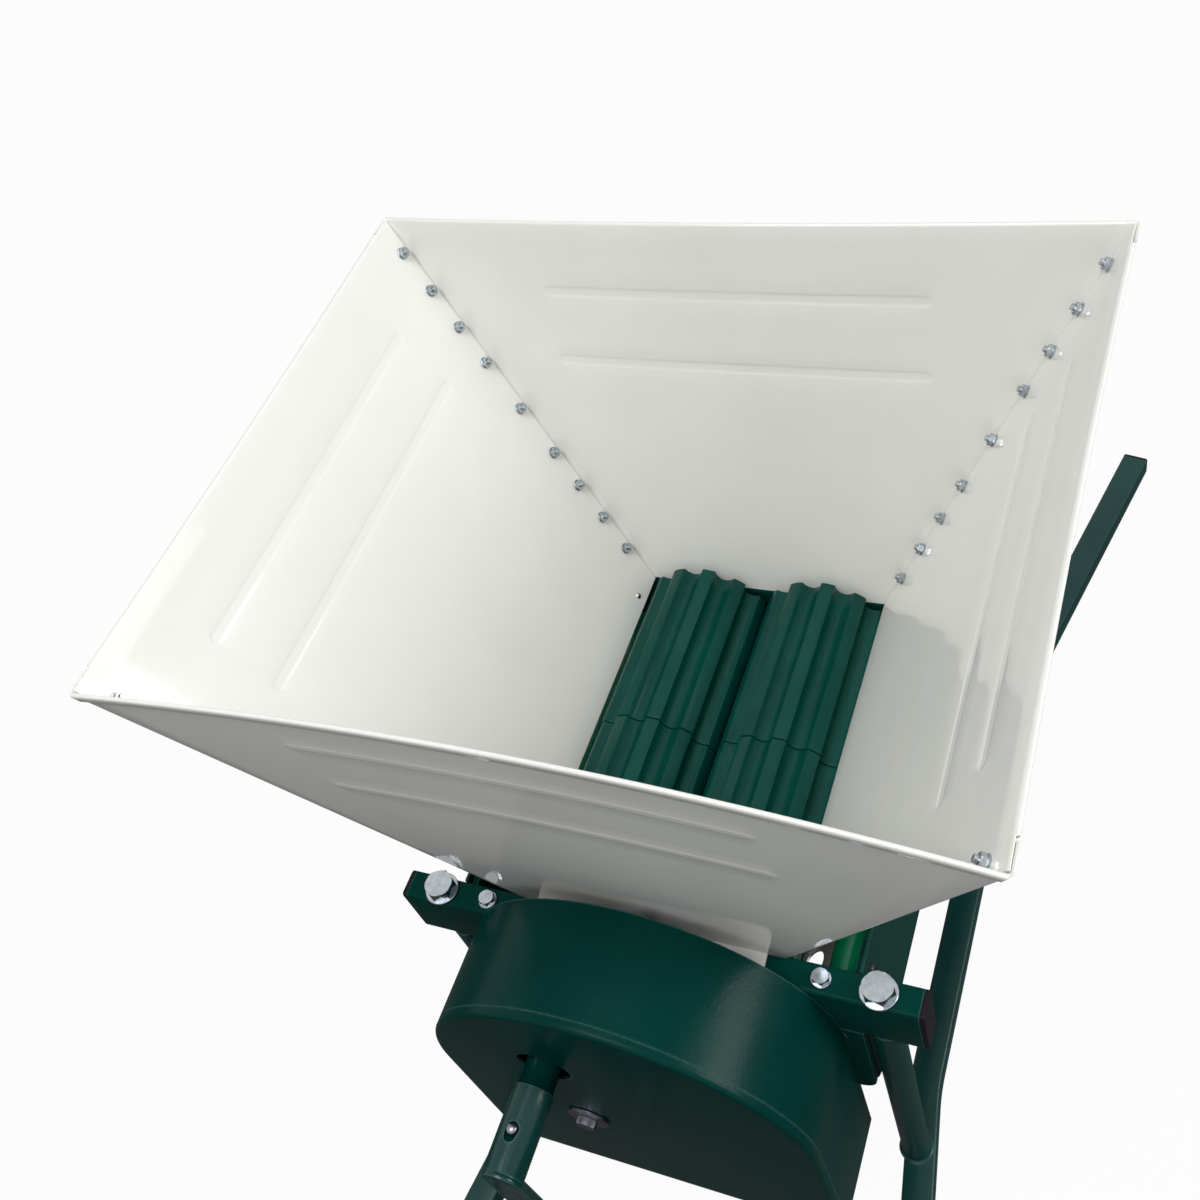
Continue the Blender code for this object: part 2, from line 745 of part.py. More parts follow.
def build_gears(machine, left_axis, right_axis, idler_axis, beater_axis):
    """Build the meshed gears, in phase at rest, and the idler's fixed axle."""
    gear_rear = gear_front + gear_thickness
    right_turn = mesh_turn(gear_tooth_angle, gear_teeth, 0, gear_teeth)
    to_idler = math.atan2(idler_z - shaft_z, idler_side + roller_side)
    idler_turn = mesh_turn(gear_tooth_angle, gear_teeth, to_idler, idler_teeth)
    to_pinion = math.atan2(beater_z - idler_z, beater_side - idler_side)
    pinion_turn = mesh_turn(idler_turn, idler_teeth, to_pinion, pinion_teeth)
    for name, axis, teeth, turn, bore in (
            ("left_roller_gear", left_axis, gear_teeth, gear_tooth_angle, shaft_radius),
            ("right_roller_gear", right_axis, gear_teeth, right_turn, shaft_radius),
            ("idler_gear", idler_axis, idler_teeth, idler_turn, idler_axle_radius),
            ("beater_pinion", beater_axis, pinion_teeth, pinion_turn, beater_shaft_radius)):
        shape = bmesh.new()
        plate(shape, "y", gear_front, gear_rear, gear_outline(teeth, turn),
              (circle(bore + gap, round_sides),))
        add_piece(name, shape, "bare_steel", axis)
    axle_front = cover_front + cover_wall + gap
    flange_front = end_plate_front - gap - idler_axle_flange_thickness
    thread = cover_bolt_radius + gap
    shape = bmesh.new()
    profile = [(0, end_plate_rear), (idler_axle_tail_radius, end_plate_rear),
               (idler_axle_tail_radius, end_plate_front - gap),
               (idler_axle_flange_radius, end_plate_front - gap),
               (idler_axle_flange_radius, flange_front), (idler_axle_radius, flange_front),
               (idler_axle_radius, axle_front), (thread, axle_front),
               (thread, axle_front + cover_bolt_length), (0, axle_front + cover_bolt_length)]
    turned(shape, "y", profile, round_sides, idler_side, idler_z)
    add_piece("idler_axle", shape, "bare_steel", machine)
    shape = bmesh.new()
    collar_rear = gear_front - gap
    pipe(shape, "y", idler_collar_radius, idler_axle_radius + gap,
         collar_rear - idler_collar_thickness, collar_rear, round_sides, idler_side, idler_z)
    add_piece("idler_collar", shape, "zinc", machine)


def cover_outline(inset):
    """Return the gear cover's outline, an arch on straight sides, drawn in by inset."""
    centre = (cover_side_offset, cover_centre_z)
    radius = cover_radius - inset
    floor = cover_bottom + inset
    corner = cover_corner_radius
    points = arc(centre, radius, 0, math.pi, cover_arc_steps)
    left = cover_side_offset - radius + corner
    right = cover_side_offset + radius - corner
    points += arc((left, floor + corner), corner, math.pi, 1.5 * math.pi, 2)
    points += arc((right, floor + corner), corner, 1.5 * math.pi, 2 * math.pi, 2)
    return points


def build_cover(machine):
    """Build the arched gear cover with its bolt and large washer."""
    shape = bmesh.new()
    outer = cover_outline(0)
    inner = cover_outline(cover_wall)
    rings = [[put("y", u, v, station) for u, v in outline]
             for outline, station in ((outer, cover_front), (outer, cover_back),
                                      (inner, cover_back), (inner, cover_front + cover_wall))]
    loft(shape, rings)
    cover = add_piece("gear_cover", shape, "green_paint", machine)
    cuts = bmesh.new()
    rod(cuts, "y", cover_hole_radius, cover_front - overrun, cover_front + overrun,
        cover_hole_sides, -roller_side, shaft_z)
    rod(cuts, "y", cover_bolt_radius + gap, cover_front - overrun, cover_front + overrun,
        small_sides, idler_side, idler_z)
    add_boolean(cover, "holes", cuts, "DIFFERENCE")
    shape = bmesh.new()
    washer_rear = cover_front - gap
    washer_front = washer_rear - cover_washer_thickness
    pipe(shape, "y", cover_washer_radius, cover_bolt_radius + gap, washer_front, washer_rear,
         round_sides, idler_side, idler_z)
    add_piece("cover_washer", shape, "zinc", machine)
    shape = bmesh.new()
    bolt(shape, "y", washer_front - gap, -cover_bolt_head_height, cover_bolt_length,
         (cover_bolt_head_radius, cover_bolt_radius), fastener_sides, idler_side, idler_z)
    add_piece("cover_bolt", shape, "zinc", machine)


def build_end_plate(machine):
    """Build the front end plate that closes the trough and carries the gear axles."""
    half = side_plate_outer
    corner = side_plate_corner
    bottom = side_plate_bottom - side_plate_thickness
    skirt = screen_radius + screen_thickness + overrun
    top = -bar_height - gap
    join = math.asin((bottom - beater_z) / skirt)
    outline = [(-half, top)]
    outline += arc((-half + corner, bottom + corner), corner, math.pi, 1.5 * math.pi, 3)
    outline += arc((beater_side, beater_z), skirt, math.pi - join, 2 * math.pi + join,
                   screen_arc_steps)
    outline += arc((half - corner, bottom + corner), corner, 1.5 * math.pi, 2 * math.pi, 3)
    outline.append((half, top))
    holes = [circle(bush_radius + gap, round_sides, beater_side, beater_z),
             circle(idler_axle_tail_radius + gap, round_sides, idler_side, idler_z)]
    shape = bmesh.new()
    plate(shape, "y", end_plate_front, end_plate_rear, outline, holes)
    end_plate = add_piece("front_end_plate", shape, "green_paint", machine)
    cuts = bmesh.new()
    for side in (-1, 1):
        rod(cuts, "y", side_tube_radius + gap, end_plate_front - overrun,
            end_plate_rear + overrun, round_sides, side * side_tube_side, side_tube_z,
            math.pi / round_sides)
    add_boolean(end_plate, "tube_holes", cuts, "DIFFERENCE")


def side_plate_outline():
    """Return the side plate's outline in (y, z), notched under both bars."""
    front = end_plate_rear + gap
    inner = bar_inner_face - gap
    under = -bar_height - gap
    top = -gap
    corner = side_plate_corner
    low = side_plate_bottom
    points = [(front, under), (-inner, under), (-inner, top), (inner, top), (inner, under),
              (trough_rear, under)]
    points += arc((trough_rear - corner, low + corner), corner, 0, -math.pi / 2, 3)
    points += arc((front + corner, low + corner), corner, 1.5 * math.pi, math.pi, 3)
    return points


def housing_screw_places():
    """Return the (y, z) places of the screws that go in through one side plate."""
    places = [lug_screw_place(-1), lug_screw_place(1)]
    flange_z = screen_shoulder_z() + screen_flange / 2
    span = screen_rear - end_plate_rear
    for index in range(screen_screw_count):
        places.append((end_plate_rear + span * (index + 0.5) / screen_screw_count, flange_z))
    places.append((yoke_rear - yoke_thickness / 2, -yoke_top_drop - yoke_wing_drop / 2))
    places.append((outlet_cover_front + outlet_cover_length / 2,
                   -bar_height - outlet_cover_lip / 2))
    return places


def screen_shoulder_z():
    """Return the height at which the screen's slope meets its upright flange."""
    outer = side_plate_inner - gap - screen_thickness
    return beater_z + outer - screen_radius


def build_side_plates(machine):
    """Build both side plates with the holes of their screws."""
    hole_radius = housing_screw_radius + gap
    for side, name in ((-1, "left_side_plate"), (1, "right_side_plate")):
        shape = bmesh.new()
        holes = [circle(hole_radius, fastener_sides, y, z) for y, z in housing_screw_places()]
        plate(shape, "x", side * side_plate_inner, side * side_plate_outer,
              side_plate_outline(), holes)
        add_piece(name, shape, "green_paint", machine)


def build_screen(machine):
    """Build the perforated half-round screen with its sloping shoulders."""
    outer = side_plate_inner - gap
    inner = outer - screen_thickness
    shoulder = screen_shoulder_z()
    top = shoulder + screen_flange
    centre = (beater_side, beater_z)
    lean = screen_thickness * (math.sqrt(2) - 1)
    inside = [(inner, top), (inner, shoulder)]
    inside += arc(centre, screen_radius, 0, -math.pi, screen_arc_steps)
    inside += [(-inner, shoulder), (-inner, top)]
    outside = [(-outer, top), (-outer, shoulder - lean)]
    outside += arc(centre, screen_radius + screen_thickness, -math.pi, 0, screen_arc_steps)
    outside += [(outer, shoulder - lean), (outer, top)]
    shape = bmesh.new()
    front = end_plate_rear + gap
    plate(shape, "y", front, screen_rear, inside + outside)
    screen = add_piece("destemming_screen", shape, "stainless", machine)
    cuts = bmesh.new()
    span = screen_rear - front
    for column in range(screen_hole_columns):
        y = front + span * (column + 0.5) / screen_hole_columns
        for row in range(screen_hole_rows):
            angle = (row - (screen_hole_rows - 1) / 2) * math.pi / screen_arc_steps
            first = len(cuts.verts)
            rod(cuts, "z", screen_hole_radius, -screen_radius - overrun - screen_thickness,
                -screen_radius + overrun, screen_hole_sides, 0, y)
            tilt(cuts, first, Matrix.Translation((beater_side, 0, beater_z))
                 @ Matrix.Rotation(angle, 4, "Y"))
    for side in (-1, 1):
        for y, z in housing_screw_places()[2:2 + screen_screw_count]:
            rod(cuts, "x", housing_screw_radius + gap, side * (inner - overrun),
                side * (outer + overrun), fastener_sides, y, z)
    add_boolean(screen, "holes", cuts, "DIFFERENCE")


def build_yoke(machine):
    """Build the rear yoke that holds the beater's rear bush between the side plates."""
    outer = side_plate_inner - gap
    inner = outer - yoke_arm_width
    top = -yoke_top_drop
    wing = top - yoke_wing_drop
    foot = yoke_foot_half_width
    low = beater_z - yoke_foot_half_height
    high = beater_z + yoke_foot_half_height
    outline = [(-outer, top), (-outer, wing), (-foot, low), (foot, low), (outer, wing),
               (outer, top), (inner, top), (inner, wing + yoke_arm_width / 2), (foot, high),
               (-foot, high), (-inner, wing + yoke_arm_width / 2), (-inner, top)]
    shape = bmesh.new()
    plate(shape, "y", yoke_rear - yoke_thickness, yoke_rear, outline,
          (circle(bush_radius + gap, round_sides, beater_side, beater_z),))
    yoke = add_piece("rear_bearing_yoke", shape, "green_paint", machine)
    cuts = bmesh.new()
    y, z = housing_screw_places()[-2]
    for side in (-1, 1):
        rod(cuts, "x", housing_screw_radius + gap,
            side * (outer - housing_screw_reach), side * (outer + overrun),
            fastener_sides, y, z)
    add_boolean(yoke, "screw_holes", cuts, "DIFFERENCE")


def build_outlet_cover(machine):
    """Build the folded cover over the trough behind the rear bar."""
    outer = side_plate_inner - gap
    inner = outer - outlet_cover_sheet
    top = -bar_height - gap
    low = top - outlet_cover_lip
    outline = [(-outer, low), (-inner, low), (-inner, top - outlet_cover_sheet),
               (inner, top - outlet_cover_sheet), (inner, low), (outer, low), (outer, top),
               (-outer, top)]
    shape = bmesh.new()
    plate(shape, "y", outlet_cover_front, outlet_cover_front + outlet_cover_length, outline)
    cover = add_piece("stem_outlet_cover", shape, "green_paint", machine)
    cuts = bmesh.new()
    y, z = housing_screw_places()[-1]
    for side in (-1, 1):
        rod(cuts, "x", housing_screw_radius + gap, side * (inner - overrun),
            side * (outer + overrun), fastener_sides, y, z)
    add_boolean(cover, "screw_holes", cuts, "DIFFERENCE")


def build_beater(machine, beater_axis):
    """Build the beater, a shaft with paddles welded on, and the two bushes it turns in."""
    shape = bmesh.new()
    rod(shape, "y", beater_shaft_radius, gear_front - beater_front_tail,
        yoke_rear + shaft_rear_tail, round_sides)
    beater = add_piece("beater", shape, "stainless", beater_axis)
    paddles = bmesh.new()
    half_width = paddle_width / 2
    half_thickness = paddle_thickness / 2
    paddle_first = end_plate_rear + paddle_front_clearance
    paddle_last = screen_rear - paddle_rear_clearance
    for index in range(paddle_count):
        y = paddle_first + (paddle_last - paddle_first) * index / (paddle_count - 1)
        first = len(paddles.verts)
        plate(paddles, "z", beater_shaft_radius / 2, beater_tip_radius,
              rectangle(-half_thickness, half_thickness, y - half_width, y + half_width))
        tilt(paddles, first, Matrix.Rotation(beater_phase + index * paddle_turn, 4, "Y"))
    add_boolean(beater, "paddles", paddles, "UNION")
    bore = beater_shaft_radius + gap
    for name, inner_face, outer_face, sense in (
            ("front_beater_bush", end_plate_rear, end_plate_front, 1),
            ("rear_beater_bush", yoke_rear - yoke_thickness, yoke_rear, -1)):
        flange = inner_face + sense * gap
        profile = [(bush_radius, outer_face), (bush_radius, flange), (bush_flange_radius, flange),
                   (bush_flange_radius, flange + sense * bush_flange_thickness),
                   (bore, flange + sense * bush_flange_thickness), (bore, outer_face)]
        shape = bmesh.new()
        turned(shape, "y", profile, round_sides, beater_side, beater_z)
        add_piece(name, shape, "bronze", machine)


def rounded_rectangle(u_low, u_high, v_low, v_high, radius, steps):
    """Return a rectangle with round corners."""
    points = arc((u_high - radius, v_high - radius), radius, 0, math.pi / 2, steps)
    points += arc((u_low + radius, v_high - radius), radius, math.pi / 2, math.pi, steps)
    points += arc((u_low + radius, v_low + radius), radius, math.pi, 1.5 * math.pi, steps)
    points += arc((u_high - radius, v_low + radius), radius, 1.5 * math.pi, 2 * math.pi, steps)
    return points


def build_crank(left_axis, grip_axis, button_axis):
    """Build the crank: socket on the shaft, arm, spindle, turning grip and snap button."""
    shape = bmesh.new()
    pipe(shape, "y", socket_radius, shaft_radius + gap, socket_front, socket_rear, round_sides)
    handle = add_piece("crank_handle", shape, "green_paint", left_axis)
    hole = bmesh.new()
    rod(hole, "z", button_hole_radius, 0, socket_radius + overrun, round_sides, 0, button_station)
    add_boolean(handle, "button_hole", hole, "DIFFERENCE")
    arm_rear = socket_front + arm_weld_overlap
    arm_front = arm_rear - arm_depth
    arm_middle = (arm_rear + arm_front) / 2
    arm_bottom = -crank_throw - arm_end_extra
    shape = bmesh.new()
    outline = rounded_rectangle(-arm_half_width, arm_half_width, arm_middle - arm_depth / 2,
                                arm_middle + arm_depth / 2, arm_corner_radius, 3)
    plate(shape, "z", arm_bottom, socket_radius, outline)
    add_boolean(handle, "arm", shape, "UNION")
    hole = bmesh.new()
    rod(hole, "y", spindle_radius + gap, arm_front - overrun, arm_rear + overrun,
        round_sides, 0, -crank_throw)
    add_boolean(handle, "spindle_hole", hole, "DIFFERENCE")
    grip_rear = arm_front - gap
    grip_front = grip_rear - grip_length
    head_rear = grip_front - gap
    shape = bmesh.new()
    bolt(shape, "y", head_rear, -spindle_head_thickness, arm_rear + spindle_tail - head_rear,
         (spindle_head_radius, spindle_radius), round_sides, 0, -crank_throw)
    add_piece("grip_spindle", shape, "zinc", left_axis)
    shape = bmesh.new()
    plate(shape, "y", arm_rear + gap, arm_rear + gap + grip_nut_height,
          circle(grip_nut_radius, fastener_sides, 0, -crank_throw),
          (circle(spindle_radius + gap, round_sides, 0, -crank_throw),))
    add_piece("grip_nut", shape, "zinc", left_axis)
    shape = bmesh.new()
    bore = spindle_radius + gap
    profile = [(bore, grip_rear), (grip_end_radius, grip_rear)]
    for share, radius in ((grip_end_share, grip_waist_radius), (grip_swell_share, grip_radius),
                          (1 - grip_swell_share, grip_radius), (1 - grip_end_share, grip_waist_radius)):
        profile.append((radius, grip_rear - share * grip_length))
    profile += [(grip_end_radius, grip_front), (bore, grip_front)]
    turned(shape, "y", profile, round_sides)
    add_piece("crank_grip", shape, "black_plastic", grip_axis)
    shape = bmesh.new()
    shoulder = socket_radius
    dome = socket_radius + button_dome_height
    profile = [(0, button_flange_bottom), (button_flange_radius, button_flange_bottom),
               (button_flange_radius, button_flange_top), (button_radius, button_flange_top),
               (button_radius, shoulder),
               (button_radius * button_dome_edge_share,
                shoulder + button_dome_height * button_dome_edge_share), (0, dome)]
    turned(shape, "z", profile, round_sides)
    add_piece("snap_button", shape, "zinc", button_axis)
    shape = bmesh.new()
    outline = [(spring_front, spring_tip_rise), (spring_rear, -spring_apex_drop),
               (spring_front, -spring_foot_drop), (spring_front, spring_leaf - spring_foot_drop),
               (spring_rear - spring_apex_depth, -spring_apex_drop),
               (spring_front, spring_tip_rise - spring_leaf)]
    plate(shape, "x", -spring_half_width, spring_half_width, outline)
    add_piece("button_spring", shape, "bare_steel", left_axis)


def half_width(z):
    """Return the hopper's inner half width at height z."""
    return hopper_bottom_half_width + side_slope * (z - hopper_bottom)


def half_depth(z):
    """Return the hopper's inner half depth at height z."""
    return hopper_bottom_half_depth + end_slope * (z - hopper_bottom)


def hem_levels():
    """Return the heights of a panel's sections with the extra thickness of its hem."""
    start = hopper_rim - hem_height
    return ((hopper_bottom, 0), (start, 0), (start + hem_round, hem_extra),
            (hopper_rim - hem_round, hem_extra), (hopper_rim, hem_extra - hem_round))


def end_panel_section(end, z, extra):
    """Return one level of the front or back panel, whose flanges wrap the side panels."""
    near = half_width(z) + side_run + gap
    far = near + side_run
    inside = half_depth(z)
    outside = inside + end_run + extra
    flange = inside - seam_flange
    points = [(-near, flange), (-far, flange), (-far, outside), (far, outside), (far, flange),
              (near, flange), (near, inside), (-near, inside)]
    return [Vector((x, end * y, z)) for x, y in points]


def side_panel_section(side, z, extra):
    """Return one level of a side panel, hemmed between the end panels' flanges."""
    inside = half_width(z)
    outside = inside + side_run
    end = half_depth(z) - gap
    hem_end = half_depth(z) - seam_flange - gap
    points = [(inside, -end), (inside, end), (outside, end), (outside, hem_end),
              (outside + extra, hem_end), (outside + extra, -hem_end), (outside, -hem_end),
              (outside, -end)]
    return [Vector((side * x, y, z)) for x, y in points]


def seam_heights():
    """Return the heights of the fasteners along one seam."""
    heights = [seam_lowest]
    for index in range(1, seam_count):
        step = seam_step * (seam_wide_share if index in seam_wide_gaps else 1)
        heights.append(heights[-1] + step)
    return heights


def across_side(side, y, z):
    """Return a frame on a side panel's inner face, its z axis pointing out of the hopper."""
    outward = Vector((side, 0, -side_slope)).normalized()
    turn = Vector((0, 0, 1)).rotation_difference(outward).to_matrix().to_4x4()
    return Matrix.Translation((side * half_width(z), y, z)) @ turn


def seam_frames():
    """Return the frames of all seam fasteners."""
    frames = []
    for side in (-1, 1):
        for end in (-1, 1):
            for z in seam_heights():
                frames.append(across_side(side, end * (half_depth(z) - seam_inset), z))
    return frames


def fastener_cutters(frames):
    """Return rods that cut every fastener's hole through the sheets."""
    cuts = bmesh.new()
    for frame in frames:
        first = len(cuts.verts)
        rod(cuts, "z", seam_hole_radius, -overrun, overrun + 2 * sheet, fastener_sides)
        tilt(cuts, first, frame)
    return cuts


def build_hopper(machine):
    """Build the four hopper panels, their hems, flanges and mounting tabs."""
    for name, end in (("hopper_front_panel", -1), ("hopper_back_panel", 1)):
        shape = bmesh.new()
        loft(shape, [end_panel_section(end, z, extra) for z, extra in hem_levels()])
        panel = add_piece(name, shape, "cream_paint", machine)
        tab = bmesh.new()
        corner = tab_corner_radius
        root = hopper_bottom_half_depth + end_run / 2
        tip = bar_outer_face
        outline = [(-tab_half_width, end * root)]
        outline += [(x, end * y) for x, y in arc((-tab_half_width + corner, tip - corner), corner,
                                                 math.pi, math.pi / 2, 3)]
        outline += [(x, end * y) for x, y in arc((tab_half_width - corner, tip - corner), corner,
                                                 math.pi / 2, 0, 3)]
        outline.append((tab_half_width, end * root))
        plate(tab, "z", hopper_bottom, hopper_bottom + tab_thickness, outline)
        add_boolean(panel, "tab", tab, "UNION")
        cuts = fastener_cutters(seam_frames())
        rod(cuts, "z", tab_screw_radius + gap, hopper_bottom - overrun,
            hopper_bottom + tab_thickness + gap, small_sides, 0, end * bar_y)
        add_boolean(panel, "holes", cuts, "DIFFERENCE")
    for name, side in (("hopper_left_panel", -1), ("hopper_right_panel", 1)):
        shape = bmesh.new()
        loft(shape, [side_panel_section(side, z, extra) for z, extra in hem_levels()])
        bmesh.ops.remove_doubles(shape, verts=shape.verts, dist=gap / 100)
        panel = add_piece(name, shape, "cream_paint", machine)
        add_boolean(panel, "holes", fastener_cutters(seam_frames()), "DIFFERENCE")


def build_machine():
    """Build the whole machine on its empties."""
    clear_scene()
    machine = add_empty("machine", (0, -rail_middle, -rail_bottom))
    left_axis = add_empty("left_roller_axis", (-roller_side, 0, shaft_z), machine)
    right_axis = add_empty("right_roller_axis", (roller_side, 0, shaft_z), machine)
    idler_axis = add_empty("idler_axis", (idler_side, 0, idler_z), machine)
    beater_axis = add_empty("beater_axis", (beater_side, 0, beater_z), machine)
    grip_axis = add_empty("grip_axis", (0, 0, -crank_throw), left_axis)
    button_axis = add_empty("button_axis", (0, button_station, 0), left_axis)
    build_rails(machine)
    build_post_bolts(machine)
    build_cross_bars(machine)
    build_side_tubes(machine)
    build_bushes(machine)
    build_rollers(left_axis, right_axis)
    build_gears(machine, left_axis, right_axis, idler_axis, beater_axis)
    build_cover(machine)
    build_end_plate(machine)
    build_side_plates(machine)
    build_screen(machine)
    build_yoke(machine)
    build_outlet_cover(machine)
    build_beater(machine, beater_axis)
    build_crank(left_axis, grip_axis, button_axis)
    build_hopper(machine)
    bpy.context.view_layer.update()


build_machine()
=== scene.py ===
"""The finished look of the grape crusher: its hopper, rollers, gear case, trough and stand."""
import logging
import math
from dataclasses import dataclass
from enum import Enum
from typing import Iterable, Sequence

import bmesh
import bpy
from mathutils import Matrix, Vector


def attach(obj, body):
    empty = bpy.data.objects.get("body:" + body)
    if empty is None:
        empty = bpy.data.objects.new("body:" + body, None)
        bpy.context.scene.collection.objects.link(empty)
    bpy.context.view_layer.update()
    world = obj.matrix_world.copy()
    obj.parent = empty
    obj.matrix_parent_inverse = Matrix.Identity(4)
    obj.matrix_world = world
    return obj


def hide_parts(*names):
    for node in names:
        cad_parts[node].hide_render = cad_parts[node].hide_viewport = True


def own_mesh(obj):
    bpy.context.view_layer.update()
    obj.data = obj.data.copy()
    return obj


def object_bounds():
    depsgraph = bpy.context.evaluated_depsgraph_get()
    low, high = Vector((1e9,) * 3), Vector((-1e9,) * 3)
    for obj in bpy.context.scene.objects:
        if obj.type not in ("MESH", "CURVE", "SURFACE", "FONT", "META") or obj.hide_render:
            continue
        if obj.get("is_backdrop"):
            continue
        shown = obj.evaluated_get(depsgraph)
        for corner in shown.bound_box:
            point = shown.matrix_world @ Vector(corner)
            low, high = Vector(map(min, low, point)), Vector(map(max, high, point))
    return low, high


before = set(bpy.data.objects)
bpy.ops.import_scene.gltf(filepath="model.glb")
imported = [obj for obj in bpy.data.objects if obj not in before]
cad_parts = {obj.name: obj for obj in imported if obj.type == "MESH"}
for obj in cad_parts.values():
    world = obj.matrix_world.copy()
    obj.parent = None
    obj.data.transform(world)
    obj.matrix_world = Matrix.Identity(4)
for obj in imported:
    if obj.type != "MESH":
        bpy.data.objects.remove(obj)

Point = tuple[float, float]
Outline = list[Point]
Triple = tuple[float, float, float]
Piece = bpy.types.Object

MM = 0.001
GAP = 0.3 * MM
FULL = 2 * math.pi
HALF = math.pi
QUARTER = math.pi / 2
CORNER_STEPS = 4
SMALL_SIDES, MIDDLE_SIDES, LARGE_SIDES, ROUND_SIDES, FINE_SIDES = 24, 32, 48, 64, 96
FLAT_ANGLE = 30.0
LEAST_STEP = 0.05 * MM
MACHINE_ORIGIN = Vector((0, -70 * MM, 320 * MM))
log = logging.getLogger("grape_crusher")


class Body(Enum):
    """The rigid bodies of the machine that pieces ride on."""

    FRAME = "frame"
    LEFT_ROLLER = "left_roller"
    RIGHT_ROLLER = "right_roller"
    IDLER = "idler"
    BEATER = "beater"
    GRIP = "grip"
    BUTTON = "button"


class Way(Enum):
    """One of two opposite ways, whose value is the sign of its coordinate."""

    @property
    def word(self) -> str:
        """Return the way's name in lower case."""
        return self.name.lower()


class Side(Way):
    """Left or right of the machine, seen from the crank."""

    LEFT = -1
    RIGHT = 1


class End(Way):
    """The crank's end or the outlet's end of the machine."""

    FRONT = -1
    REAR = 1


@dataclass(frozen=True)
class Layout:
    """Places and sizes that sub-assemblies share: x across, y to the rear, z from the bars' top."""

    bar_y: float = 150 * MM
    bar_half_depth: float = 10 * MM
    bar_height: float = 50 * MM
    post_x: float = 153 * MM
    tube: Point = (117 * MM, -61.3 * MM)
    tube_bolt_hole: float = 3.3 * MM
    post_bolt_hole: float = 6.3 * MM
    roller: Point = (46.5 * MM, -25 * MM)
    driven: Point = (-46.5 * MM, -25 * MM)
    idler: Point = (-40 * MM, -116.269 * MM)
    beater: Point = (0.0, -172.491 * MM)
    shaft: float = 10 * MM
    shaft_bore: float = 10.3 * MM
    bush_hole: float = 14.3 * MM
    button_y: float = -284.6 * MM
    end_plate: Point = (-160 * MM, -157 * MM)


LAYOUT = Layout()


def linear(red: float, green: float, blue: float) -> tuple[float, float, float, float]:
    """Turn an 8-bit screen colour into the linear colour of a shader."""
    shares = [channel / 255 for channel in (red, green, blue)]
    values = [v / 12.92 if v <= 0.04045 else ((v + 0.055) / 1.055) ** 2.4 for v in shares]
    return values[0], values[1], values[2], 1.0


def wire(tree: bpy.types.NodeTree, node: bpy.types.Node, inputs: dict[str | int, object]) -> None:
    """Link a socket, or set a value, at each of a node's named inputs."""
    for name, value in inputs.items():
        if isinstance(value, bpy.types.NodeSocket):
            tree.links.new(value, node.inputs[name])
        else:
            node.inputs[name].default_value = value


def add_node(tree: bpy.types.NodeTree, kind: str, inputs: dict[str | int, object] | None = None,
             **settings: object) -> bpy.types.Node:
    """Add a shader node and wire it.

    Args:
        tree: The node tree that gets it.
        kind: Its type, without the word ShaderNode.
        inputs: For each input the socket or the value that feeds it.
        settings: The node's own settings.

    Returns:
        The new node.
    """
    node = tree.nodes.new(f"ShaderNode{kind}")
    for name, value in settings.items():
        setattr(node, name, value)
    wire(tree, node, inputs or {})
    return node


